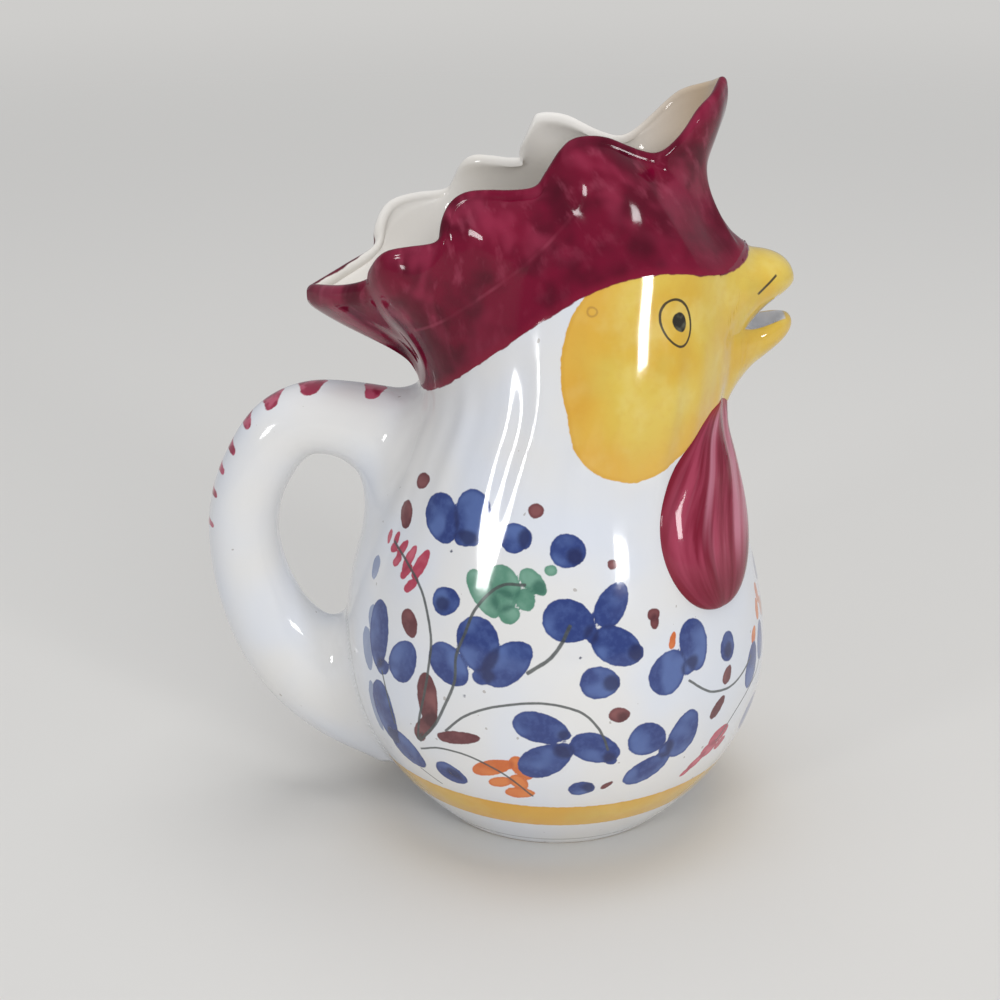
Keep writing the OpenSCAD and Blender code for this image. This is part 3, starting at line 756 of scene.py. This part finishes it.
def rolled(s):
    """Each lobe is fullest just below the rim, which turns over in a soft roll."""
    roll = lip_roll * np.exp(-((s - 0.95) / 0.09) ** 2)
    full = lobe_full * even_out(lobes, 5) * sind(180 * min(1.0, s) ** 3.2)
    tail = along(tail_form, min(1.0, s))[0] * np.exp(-((180 - fold(around)) / 16) ** 2)
    return rim_out * ((roll + full) * from_tips + tail)[:, None]


# a soft line left by the mould climbs each side from the nape to the front lobe
mould_line = smooth_line([(-38, 143), (-28, 148.5), (-15.5, 158), (-3.6, 167.8), (3, 174.5),
                          (9, 181.5), (15, 189)], 8)


def mould_side(points):
    """How far a point stands above the mould line, less than nothing below it."""
    d = np.full(points.shape[:-1], np.inf)
    side = np.full(points.shape[:-1], np.inf)
    for (x0, z0), (x1, z1) in zip(mould_line, mould_line[1:]):
        length = np.hypot(x1 - x0, z1 - z0)
        tx, tz = (x1 - x0) / length, (z1 - z0) / length
        u = np.clip((points[..., 0] - x0) * tx + (points[..., 2] - z0) * tz, 0, length)
        qx, qz = points[..., 0] - x0 - u * tx, points[..., 2] - z0 - u * tz
        near = np.hypot(qx, qz)
        side = np.where(near < d, np.sign(qz * tx - qx * tz) * near, side)
        d = np.minimum(d, near)
    return side


crown_out, mould_gap = [], []
for i in range(crown_rows + 1):
    s = i / crown_rows
    ring = crown_point(s) + rolled(s)
    off = mould_side(ring)
    fade = np.clip((mould_half - np.abs(ring[:, 0] - mould_x)) / mould_fade, 0, 1)
    fade = min(1, 4 * s) * min(1, 5 * (1 - s)) * fade
    step = mould_ridge * np.exp(-(off / 1.5) ** 2) + mould_step * (1 + np.tanh(off / 3.2))
    crown_out.append(ring + rim_out * (step * fade)[:, None])
    mould_gap.append(np.where(fade > 0.3, off, no_line))
crown_lip = []
for i in range(1, lip_turns):
    turn = 180 * i / lip_turns
    crown_lip.append(lip_point(turn) + rolled(1.0) * (1 + cosd(turn)) / 2)
crown_in = [inner_wall(i / crown_rows_in) for i in range(crown_rows_in, -1, -1)]
crown_rings = np.array(crown_out + crown_lip + crown_in)
comb = skin("comb", crown_rings, looped=True)
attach(comb, "root")
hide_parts("comb_crown")

# how far round the lip the crimson goes: minus below the lip, by the length of the wall outside
rows, wall_long = len(crown_rings), 36
over_lip = np.full(rows, np.pi * wall_t / 2)
over_lip[:len(crown_out)] = -wall_long * (1 - np.arange(crown_rows + 1) / crown_rows)
over_lip[len(crown_out):len(crown_out) + len(crown_lip)] *= np.arange(1, lip_turns) / lip_turns
# the crimson covers the lip on the right, and on the left only its outer side, but for both tips
crimson_to = np.where(around > 180, 5.0, 1.9)
for at, width, further in ((2, 7, 2.9), (36, 9, 1.9), (153, 8, -2.8), (174, 8, 2.6)):
    crimson_to += further * np.exp(-((around - at) / width) ** 2) * (around < 180)
crimson_edge = over_lip[:, None] - even_out(crimson_to, 3)[None]
# the way of the brush: up each lobe and along the edge
rim_length = np.concatenate([[0], np.cumsum(np.linalg.norm(np.diff(rim_line, axis=0), axis=1))])
wall_height = np.linalg.norm(crown_rings - crown_rings[0][None], axis=-1)
brush_way = xyz(np.broadcast_to(rim_length, wall_height.shape), wall_height, 0)
swelling = np.broadcast_to(lobes, wall_height.shape)
up_share = np.concatenate([np.arange(crown_rows + 1) / crown_rows, np.ones(rows - crown_rows - 1)])
thin_on_ridge = np.clip(swelling * sind(180 * np.clip(up_share[:, None], 0, 1) ** 2.4), 0, 1)
mark(comb, crimson=crimson_edge, brush_way=brush_way, ridge=thin_on_ridge,
     up_share=np.repeat(up_share[:, None], turns, axis=1),
     # the spout share marks where the inside turns tan, a painted shade in the spout's hollow
     spout=np.clip((crown_rings[..., 0] - 14) / 22, 0, 1),
     mould=np.vstack([np.abs(mould_gap), np.full((rows - len(mould_gap), turns), no_line)]))

g = Glaze("crimson_comb_glaze", roughness=0.07, coat=0.0)
g.shader.inputs["IOR"].default_value = 1.36
way, up = g.read("brush_way", vector=True), g.read("up_share")
# inside the comb the glaze is cream, painted lighter than the white outside as painted light in its shaded
# hollow, and deep in the spout it darkens to tan as painted shade
inside_cream_light_and_shade = g.blend(0.75, white_ground(g), paint(238, 232, 222))
inside_cream_light_and_shade = g.blend(g.times(g.read("spout"), 0.9), inside_cream_light_and_shade, paint(200, 176, 146))
crimson = g.blend(g.patches(13, 0.36, 0.62), paint(80, 2, 28), paint(114, 6, 42))
# the brush left paler patches, mostly towards the lobes, and fine streaks in them
higher = g.spread(up, 0.15, 0.75, 0.25, 1.0)
paler = g.patches(12, 0.48, 0.66, 0.72, where=way, stretch=(1, 0.8, 1))
crimson = g.blend(g.times(paler, higher), crimson, paint(148, 44, 72))
streaks = g.patches(4.0, 0.52, 0.72, 0.30, detail=3, where=way, stretch=(1.0, 0.55, 1))
crimson = g.blend(g.times(streaks, higher), crimson, paint(176, 80, 104))
crimson = g.blend(g.times(g.read("ridge"), 0.16), crimson, paint(144, 34, 60))
broken = g.spread(g.cloud(7, 1), 0.4, 0.6, 0.2, 1)
line_share = g.times(g.spread(g.read("mould"), 0.1, 0.7, 0.32, 0.0), broken)
crimson = g.blend(line_share, crimson, paint(164, 70, 92))
# it is thinner in a strip along the head, and gathers at the lip
crimson = g.blend(g.spread(up, 0.0, 0.09, 0.6, 0), crimson, paint(134, 20, 50))
crimson = g.blend(g.spread(g.read("crimson"), -3.4, -0.2, 0, 0.55), crimson, paint(88, 4, 30))
comb_tone = g.blend(g.inside_of(g.read("crimson"), wobble_of(g, 5, 0.9), soft=0.35), inside_cream_light_and_shade, crimson)
comb.data.materials.append(g.fire(comb_tone, ripple=0.07))

# THE BEAK. Two blunt halves are modelled solid, stuck to the face with slip and smoothed over
# with a wet finger, so that they grow out of the cheeks. The mouth stands open, and its hollow
# stays white.

beak_x, beak_top_z, beak_tip_z = 62.0, 159.5, 151.0
gape_x, gape_z, lower_tip_z, beak_low_z = 46.0, 139.5, 139.2, 122.5
beak_w, lower_beak_w, mouth_t = 12.5, 11.0, 3.0
upper_edge, lower_edge, lower_tip_t = 1.4, 3.4, 4.0
root_x = head_x + head_front * 3 / 4
slip_up, slip_down, slip_sunk, melt_reach = 7.5, 6.5, 1.2, 0.5

# The outside of the clay, as the beak, the wattles and the handle find it, at every third point
skin_points = np.array(outside + crown_out[1:])
near_rows = skin_points[:, ::3]
near_cols = near_rows.shape[1]
near_faces = []
for low in range(0, (len(near_rows) - 1) * near_cols, near_cols):
    for k in range(near_cols):
        m = (k + 1) % near_cols
        near_faces.append((low + k, low + m, low + near_cols + m, low + near_cols + k))
clay_skin = BVHTree.FromPolygons(near_rows.reshape(-1, 3).tolist(), near_faces)


def off_the_clay(p):
    """Nearest point of the clay, the way out of it there, and the distance."""
    near, out, _, _ = clay_skin.find_nearest(Vector(p))
    gap = Vector(p) - near
    return np.array(near), np.array(out), gap.dot(out)


def slip_in(rings, middles, width, under=0.0, sideways=0.0):
    """Spreads the root of a piece where it meets the clay, as slip does under a wet finger."""
    for row, middle in zip(rings, middles):
        for k in range(len(row)):
            near, out, gap = off_the_clay(row[k])
            gap = max(gap, -slip_sunk)
            # the slip stays low where the piece runs up to the comb
            angle = np.degrees(np.arctan2(near[1], near[0])) % 360
            reach = width * float(np.clip((seam_z(np.array(angle)) - near[2] + 1) / 7, 0.25, 1))
            if gap < reach:
                # below the skin it runs on at a shallow slope, so that no line shows where it ends
                spread = reach - np.sqrt(max(0.0, reach ** 2 - (reach - max(gap, 0.0)) ** 2))
                spread += 2 * min(max(-gap, 0.0), 0.4)
                away = row[k] - middle
                away = away - out * away.dot(out)
                size = np.linalg.norm(away)
                spread *= 1 + sideways * (away[1] / max(size, 1e-6)) ** 2
                # a high root runs down the wall further than it spreads to its sides
                if under and middle[2] > neck_z - 40:
                    spread *= 1 + under * max(0.0, -away[2] / max(size, 1e-6)) ** 3
                moved = row[k] + (away / size * spread if size > 1e-6 else 0)
                near, out, _ = off_the_clay(moved)
                row[k] = mix(moved, near + out * gap, float(np.clip((4 - gap) / 3, 0, 1)))


# The way that the clay faces at the same points
round_it = np.roll(skin_points, -1, axis=1) - np.roll(skin_points, 1, axis=1)
clay_faces = np.cross(round_it, np.gradient(skin_points, axis=0))
clay_faces = clay_faces / np.linalg.norm(clay_faces, axis=2, keepdims=True)
clay_faces = clay_faces[:, ::3].reshape(-1, 3)
skin_near = KDTree(len(clay_faces))
for k, p in enumerate(near_rows.reshape(-1, 3)):
    skin_near.insert(p, k)
skin_near.balance()


def melt_in(piece):
    """Turns the shading of a root into that of the clay round it, as glaze pools over the slip."""
    points = np.array([v.co for v in piece.data.vertices]) / mm
    facing = np.array([v.normal for v in piece.data.vertices])
    for k, p in enumerate(points):
        gap = off_the_clay(p)[2]
        if -0.4 < gap < melt_reach:
            found = skin_near.find_range(p, 3.0) or skin_near.find_n(p, 4)
            closest = min(d for _, _, d in found)
            clay_way = sum(clay_faces[m] * np.exp(-((d - closest) / 1.3) ** 2) for _, m, d in found)
            clay_way = clay_way / np.linalg.norm(clay_way)
            alike = float(np.clip((facing[k].dot(clay_way) - 0.6) / 0.3, 0, 1))
            share = rise(min(1.0, (melt_reach - gap) / melt_reach)) * alike
            facing[k] = mix(facing[k], clay_way, share)
    facing = facing / np.linalg.norm(facing, axis=1, keepdims=True)
    piece.data.normals_split_custom_set_from_vertices(facing.tolist())


# Places of the slices, close together where the beak comes out of the head
beak_at = np.concatenate([np.linspace(40, 43, 6, endpoint=False), np.linspace(43, 50, 140, endpoint=False),
                          mix(50, beak_x, sind(np.arange(0.75, 90, 1.5)))])
section = np.arange(96) * 360 / 96


def blunt(s, power):
    """Share of a half width left at a place along the beak, which falls off only near the tip."""
    return np.sqrt(np.clip(1 - s ** power, 0, None))


def beak_rings(low, top, half, square=1.0):
    """Upright ovals across the beak, from inside the head to the tip, with squarer shoulders above."""
    bend = np.where(cosd(section) > 0, np.abs(cosd(section)) ** square, cosd(section))
    rings, middles = [], []
    for x in beak_at:
        s = (x - root_x) / (beak_x - root_x)
        z0, z1, w = low(s), top(s), half(s)
        mid = (z0 + z1) / 2
        rings.append(xyz(x, w * sind(section), mid + (z1 - z0) / 2 * bend))
        middles.append(np.array([x, 0, mid]))
    return np.array(rings), middles


def past_gape(s):
    """Share of the way from the corner of the mouth to the tip."""
    return np.clip((mix(root_x, beak_x, s) - gape_x) / (beak_x - gape_x), -1, 1)


upper_rings, upper_middles = beak_rings(
    lambda s: mix(gape_z, beak_tip_z, past_gape(s)) - upper_edge * blunt(s, 12),
    lambda s: mix(beak_tip_z, beak_top_z, blunt(s, 5)),
    lambda s: beak_w * blunt(s, 3))
lower_rings, lower_middles = beak_rings(
    lambda s: (mix(beak_low_z, lower_tip_z - lower_edge, max(0, past_gape(s)) ** 0.85)
               + lower_edge * (1 - blunt(s, 12))),
    lambda s: mix(gape_z, lower_tip_z + lower_tip_t, past_gape(s)) - lower_tip_t * (1 - blunt(s, 12)),
    lambda s: lower_beak_w * blunt(s, 2.4), square=0.55)


def hollow_mouth(rings):
    """Presses the shallow hollow of the open mouth into the top of the lower beak."""
    x = rings[..., 0]
    half = np.maximum(np.abs(rings[..., 1]).max(axis=1, keepdims=True), 1e-6)
    top = np.broadcast_to(cosd(section) > 0.2, x.shape)
    across = np.abs(rings[..., 1]) / half
    depth = mouth_t * np.clip(1 - (across / 0.8) ** 2, 0, 1) * rise(np.clip((beak_x - 1.2 - x) / 5, 0, 1))
    rings[..., 2] -= np.where(top, depth * rise(np.clip((cosd(section) - 0.2) / 0.5, 0, 1)), 0)
    return rings


lower_rings = hollow_mouth(lower_rings)
# the mouth stays white on the underside of the upper half and on top of the lower one, but for
# a yellow edge at the sides and at the tip
upper_white, upper_tip_edge, lower_white, lower_tip_edge, no_mouth = 0.56, 4.5, 0.76, 2.2, 6.0
upper_mouth = np.where(cosd(section) < 0, np.abs(upper_rings[..., 1]) - upper_white * beak_w, no_mouth)
upper_mouth = np.maximum(upper_mouth, upper_rings[..., 0] - beak_x + upper_tip_edge)
half_low = np.abs(lower_rings[..., 1]).max(axis=1, keepdims=True)
lower_mouth = np.where(cosd(section) > 0, np.abs(lower_rings[..., 1]) - lower_white * half_low, no_mouth)
lower_mouth = np.maximum(lower_mouth, lower_rings[..., 0] - beak_x + lower_tip_edge)
# a short slanting stroke on each side for the nostril
nostril = np.array([(56.1, 154.2), (51.6, 150.2)])
nostril_long = np.linalg.norm(nostril[1] - nostril[0])
nostril_way = (nostril[1] - nostril[0]) / nostril_long
from_x, from_z = upper_rings[..., 0] - nostril[0][0], upper_rings[..., 2] - nostril[0][1]
nostril_across = from_x * nostril_way[1] - from_z * nostril_way[0]
nostril_along = from_x * nostril_way[0] + from_z * nostril_way[1]
nostril_gap = np.maximum(np.maximum(-nostril_along, nostril_along - nostril_long), 0)

slip_in(upper_rings, upper_middles, slip_up, sideways=0.8)
slip_in(lower_rings, lower_middles, slip_down, sideways=1.0)


def comb_gap(rings):
    """How far a point lies below the comb's edge line."""
    a = np.degrees(np.arctan2(rings[..., 1] / head_w, (rings[..., 0] - head_x) / head_front)) % 360
    return seam_z(a) - 0.4 - rings[..., 2]


g = Glaze("yellow_beak_glaze", roughness=0.10, coat=0.5)
wobble = wobble_of(g, 1.6, 0.2)
# the open mouth's white is painted greyer, as painted shade in its hollow
mouth_white_in_painted_shade = g.blend(0.5, white_ground(g), paint(208, 208, 214))
beak_tone = g.blend(g.inside_of(g.read("mouth"), wobble, soft=0.35), yellow_brushwork(g), mouth_white_in_painted_shade)
dash = g.times(g.thin_line("nostril_across", 0.20, 0.42, 0.95),
               g.spread(g.read("nostril_gap"), 0.0, 0.35, 1.0, 0.0))
beak_tone = g.blend(dash, beak_tone, paint(58, 52, 40))
crimson_over = g.inside_of(g.read("comb_edge"), g.times(wobble, 1.5), soft=0.25)
beak_finish = g.fire(g.blend(crimson_over, beak_tone, paint(122, 32, 54)))
upper_strokes = dict(mouth=upper_mouth, comb_edge=comb_gap(upper_rings),
                     nostril_across=nostril_across, nostril_gap=nostril_gap)
lower_strokes = dict(mouth=lower_mouth)
for stroke in ("comb_edge", "nostril_across", "nostril_gap"):
    lower_strokes[stroke] = np.full(lower_mouth.shape, far)
for name, node_name, rings, strokes in (
        ("upper_beak_glazed", "upper_beak", upper_rings, upper_strokes),
        ("lower_beak_glazed", "lower_beak", lower_rings, lower_strokes)):
    half_beak = skin(name, rings)
    melt_in(half_beak)
    mark(half_beak, **strokes)
    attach(half_beak, "root")
    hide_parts(node_name)
    half_beak.data.materials.append(beak_finish)

# THE WATTLES. A pear-shaped pad of clay is pressed on either side of the throat and its edge
# is smoothed down. The brush pulls the crimson from the top to the tip in long strokes that
# let the white show through.

wattle_top_z, wattle_low_z, wattle_w, wattle_t, wattle_sunk = 123.5, 72.0, 22.2, 4.5, 1.5
wattle_top_a, wattle_low_a = 23.0, 38.5
wattle_rows, wattle_cols = 150, 64
stroke_long, stroke_wide = 52, 11


def wattle_rings(side):
    """Rings of one pad, and on it the distance from its edge and the way of the brush."""
    rings, edge, strokes = [], [], []
    across = np.linspace(-1, 1, wattle_cols)
    # both pads are wound the same way round, though one mirrors the other
    order = slice(None, None, -side)
    for i in range(wattle_rows + 1):
        s = rise(mix(0.015, 0.985, i / wattle_rows))
        z = mix(wattle_top_z, wattle_low_z, s)
        low = np.array(min(z, neck_z))
        a = mix(wattle_top_a, wattle_low_a, s ** 0.75)
        pear = max(0.0, sind(180 * s ** 1.05)) ** 0.42
        r, centre = float(belly_curve(low)), float(body_lean(low))
        crown = wattle_t * mix(0.3, 1, rise(min(1.0, s / 0.35))) * pear
        crown = crown * np.clip(1 - np.abs(across) ** 3.4, 0, None) ** 0.8
        # a faint fold runs down the middle of the pad
        crown = crown - 0.3 * pear * np.exp(-((across - 0.12) / 0.25) ** 2)
        angle = side * (a + across * np.degrees(wattle_w * pear / r))
        front = xyz(centre + (r + crown) * cosd(angle), (r + crown) * sind(angle), z)
        back_r = r - wattle_sunk
        back = xyz(centre + back_r * cosd(angle), back_r * sind(angle), z)[::-1]
        rings.append(np.vstack([front, back])[order])
        gap = np.concatenate([(np.abs(across) - 1) * wattle_w * pear, np.full(wattle_cols, 2.0)])
        edge.append(gap[order])
        line = np.concatenate([across, across[::-1]])
        strokes.append(xyz(line * stroke_wide + 0.8 * np.sin(7 * s), s * stroke_long, 0)[order])
    return np.array(rings), np.array(edge), np.array(strokes)


def seat_on_throat(rings):
    """Each point keeps its height over the clay that it is pressed on."""
    for row in rings:
        for k, p in enumerate(row):
            low = np.array(min(p[2], neck_z))
            height = np.hypot(p[0] - body_lean(low), p[1]) - float(belly_curve(low))
            near, out, _ = off_the_clay(p)
            row[k] = near + out * height
    return rings


g = Glaze("crimson_wattle_glaze", roughness=0.07, coat=0.0)
g.shader.inputs["IOR"].default_value = 1.36
way, tip, to_edge = g.read("stroke", vector=True), g.read("tip"), g.read("wattle_edge")
red = g.patches(2.6, 0.38, 0.62, detail=3, where=way, stretch=(1.0, 0.06, 1))
red = g.blend(red, paint(122, 22, 46), paint(166, 66, 90))
pale = g.patches(3.0, 0.47, 0.64, 0.75, where=way, stretch=(1.0, 0.045, 1))
away = g.times(g.spread(tip, 0.60, 0.88, 1, 0.1), g.spread(to_edge, -5.5, -2.0, 1, 0.15))
red = g.blend(g.times(pale, away), red, paint(204, 134, 154))
red = g.blend(g.spread(tip, 0.66, 0.90, 0, 0.6), red, paint(110, 12, 36))
red = g.blend(g.spread(to_edge, -2.6, -0.4, 0, 0.55), red, paint(124, 22, 40))
# at the top the crimson lies thin over the yellow of the throat
red = g.blend(g.spread(tip, 0.02, 0.10, 0.5, 0), red, paint(160, 62, 34))
wattle_finish = g.fire(red)
for name, node_name, side in (("wattle_right", "right_wattle", -1), ("wattle_left", "left_wattle", 1)):
    rings, edge, strokes = wattle_rings(side)
    wattle = skin(name, seat_on_throat(rings))
    mark(wattle, wattle_edge=edge, stroke=strokes, tip=strokes[..., 1] / stroke_long)
    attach(wattle, "root")
    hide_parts(node_name)
    wattle.data.materials.append(wattle_finish)

# THE HANDLE. It is a pulled oval rod, bent while soft and luted on at the nape and low on the
# belly. Both roots swell and run into the wall without a line. Short crimson wedges are
# brushed across its spine.

handle_x, handle_top_z, handle_low_z, handle_t, handle_w = 96.5, 123.5, 9.0, 20.0, 19.0
handle_slices, handle_sides = 300, 96
# Where the rod starts and ends along its curve, and the stretch over which its lean is taken
rod_from, rod_to, lean_over = 0.055, 0.985, 1 / 22
handle_slip, tick_reach = 8.0, 6.2
# Shares of the reach, of the height, of the thickness and of the width
handle_shares = np.array([
    (0.30, 0.79, 2.00, 1.45), (0.44, 0.84, 1.55, 1.20), (0.57, 0.89, 1.13, 1.02),
    (0.69, 0.90, 1.02, 0.97), (0.78, 0.86, 1.00, 0.95), (0.85, 0.77, 0.97, 0.95),
    (0.885, 0.68, 0.98, 0.97), (0.89, 0.58, 1.01, 1.00), (0.865, 0.47, 1.09, 1.03),
    (0.81, 0.36, 1.25, 1.08), (0.72, 0.27, 1.50, 1.18), (0.60, 0.21, 1.80, 1.32),
    (0.42, 0.15, 2.00, 1.50),
])


def handle_middle(s):
    """Middle of the rod at a place along it."""
    r = along(handle_shares, s)
    return np.array([-r[0] * handle_x, 0, mix(handle_low_z, handle_top_z, r[1])])


turn_round = np.arange(handle_sides) * 360 / handle_sides
handle_rings, handle_middles, handle_way = [], [], []
travelled, before = 0.0, None
for i in range(handle_slices + 1):
    s = mix(rod_from, rod_to, i / handle_slices)
    middle = handle_middle(s)
    ahead = handle_middle(min(1, s + lean_over)) - handle_middle(max(0, s - lean_over))
    ahead /= np.linalg.norm(ahead)
    spine = np.array([ahead[2], 0, -ahead[0]])
    row = along(handle_shares, s)
    thick, wide = row[2] * handle_t / 2, row[3] * handle_w / 2
    # the pulled rod is a touch flatter under the fingers than over the spine
    flat = 1 - 0.05 * np.clip(-cosd(turn_round), 0, 1) ** 2
    ring = middle + spine * (thick * cosd(turn_round) * flat)[:, None]
    ring[:, 1] += wide * sind(turn_round)
    handle_rings.append(ring)
    handle_middles.append(middle)
    if before is not None:
        travelled += np.linalg.norm(middle - before)
    before = middle
    across = np.radians((turn_round + 180) % 360 - 180) * (thick + wide) / 2
    handle_way.append(xyz(travelled, across, 0))
handle_rings, handle_way = np.array(handle_rings), np.array(handle_way)

ticks = [(0.152, 5.4), (0.237, 5.8), (0.296, 4.6), (0.345, 3.6), (0.390, 3.2), (0.430, 2.8),
         (0.475, 2.6), (0.530, 2.4)]
tick_edge = np.full(handle_rings.shape[:2], far)
rng = np.random.default_rng(7)
for share, width in ticks:
    at = (share - rod_from) / (rod_to - rod_from) * handle_slices
    along_way = np.interp(at, np.arange(handle_slices + 1), handle_way[:, 0, 0])
    reach = tick_reach + rng.uniform(-0.5, 0.5)
    u = handle_way[..., 1] + rng.uniform(-0.4, 0.4)
    v = handle_way[..., 0] - along_way - 0.10 * np.abs(u)
    half = width / 2 * (1 - 0.5 * np.clip(np.abs(u) / reach, 0, 1) ** 0.6)
    past = np.maximum(np.abs(u) - reach + half, 0)
    tick_edge = np.minimum(tick_edge, np.hypot(v, past) - half)

slip_in(handle_rings, handle_middles, handle_slip, under=1.3)
handle = skin("handle_glazed", handle_rings[::-1])
melt_in(handle)
mark(handle, tick=tick_edge[::-1], way=handle_way[::-1])
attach(handle, "root")
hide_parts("handle")

g = Glaze("white_handle_glaze", roughness=0.09, coat=0.5)
wedge = g.blend(g.patches(3.0, 0.40, 0.62, detail=1), paint(150, 42, 70), paint(184, 84, 108))
handle_tone = g.blend(g.inside_of(g.read("tick"), wobble_of(g, 1.4, 0.25)), white_ground(g), wedge)
handle.data.materials.append(g.fire(handle_tone))

# FLOOR, LIGHT AND CAMERA. A plain pale floor and soft studio light: two small windows in front,
# a broad lamp overhead and one before the pitcher, and a dim even sky.

scene = bpy.context.scene
floor_r, floor_sides, fade_from, fade_to = 4, 96, 0.45, 1.7
floor_mesh = bpy.data.meshes.new("floor")
edge = np.arange(floor_sides) * 360 / floor_sides
floor_mesh.from_pydata(xyz(floor_r * cosd(edge), floor_r * sind(edge), 0).tolist(), [],
                       [list(range(floor_sides))])
floor = bpy.data.objects.new("floor", floor_mesh)
scene.collection.objects.link(floor)
floor_finish = bpy.data.materials.new("pale_floor")
floor_finish.use_nodes = True
floor_shader = floor_finish.node_tree.nodes["Principled BSDF"]
floor_shader.inputs["Base Color"].default_value = paint(222, 220, 216)
floor_shader.inputs["Roughness"].default_value = 1.0
floor_shader.inputs["Specular IOR Level"].default_value = 0.0
# far from the pitcher the floor runs out into the pale background
floor_nodes, floor_links = floor_finish.node_tree.nodes, floor_finish.node_tree.links
floor_place = floor_nodes.new("ShaderNodeTexCoord")
how_far = floor_nodes.new("ShaderNodeVectorMath")
how_far.operation = "LENGTH"
floor_links.new(floor_place.outputs["Object"], how_far.inputs[0])
fade = floor_nodes.new("ShaderNodeMapRange")
fade.interpolation_type = "SMOOTHSTEP"
fade.inputs["From Min"].default_value, fade.inputs["From Max"].default_value = fade_from, fade_to
floor_links.new(how_far.outputs["Value"], fade.inputs["Value"])
clear, ends = floor_nodes.new("ShaderNodeBsdfTransparent"), floor_nodes.new("ShaderNodeMixShader")
floor_links.new(fade.outputs["Result"], ends.inputs[0])
floor_links.new(floor_shader.outputs[0], ends.inputs[1])
floor_links.new(clear.outputs[0], ends.inputs[2])
floor_links.new(ends.outputs[0], floor_nodes["Material Output"].inputs["Surface"])
floor_mesh.materials.append(floor_finish)

world = bpy.data.worlds.new("soft_sky")
world.use_nodes = True
# the sky lights the pitcher dimly, and the camera sees it in the floor's own pale tone
seen = world.node_tree.nodes.new("ShaderNodeLightPath")
sky = world.node_tree.nodes.new("ShaderNodeMix")
sky.data_type = "RGBA"
sky.inputs[6].default_value = (0.37, 0.38, 0.40, 1)
sky.inputs[7].default_value = paint(206, 205, 203)
world.node_tree.links.new(seen.outputs["Is Camera Ray"], sky.inputs[0])
world.node_tree.links.new(sky.outputs[2], world.node_tree.nodes["Background"].inputs["Color"])
scene.world = world


def soft_lamp(name, place, aim, width, height, power):
    light = bpy.data.lights.new(name, "AREA")
    light.shape = "RECTANGLE"
    light.size, light.size_y = width, height
    light.energy = power
    lamp = bpy.data.objects.new(name, light)
    lamp.location = place
    lamp.rotation_euler = (Vector(aim) - Vector(place)).to_track_quat("-Z", "Y").to_euler()
    scene.collection.objects.link(lamp)
    return lamp


soft_lamp("window_right", (1.05, -1.35, 0.46), (0, 0, 0.1), 0.24, 0.28, 5.0)
soft_lamp("window_left", (-1.15, -1.25, 0.48), (0, 0, 0.1), 0.22, 0.28, 4.0)
# the two broad ones give no reflections of their own
soft_lamp("overhead", (0.1, 0.2, 1.9), (0, 0, 0.05), 1.4, 1.4, 16).visible_glossy = False
soft_lamp("front", (0.5, -1.7, 1.0), (0, 0, 0.08), 1.2, 1.2, 10).visible_glossy = False

camera_pitch = 21.3
camera_data = bpy.data.cameras.new("camera")
camera_data.sensor_width = 36
camera_data.lens = 73.0
camera = bpy.data.objects.new("camera", camera_data)
camera.location = (-0.0155, -0.520, 0.291)
camera.rotation_euler = (np.radians(90 - camera_pitch), 0, 0)
scene.collection.objects.link(camera)
scene.camera = camera
scene.view_settings.view_transform = "Standard"
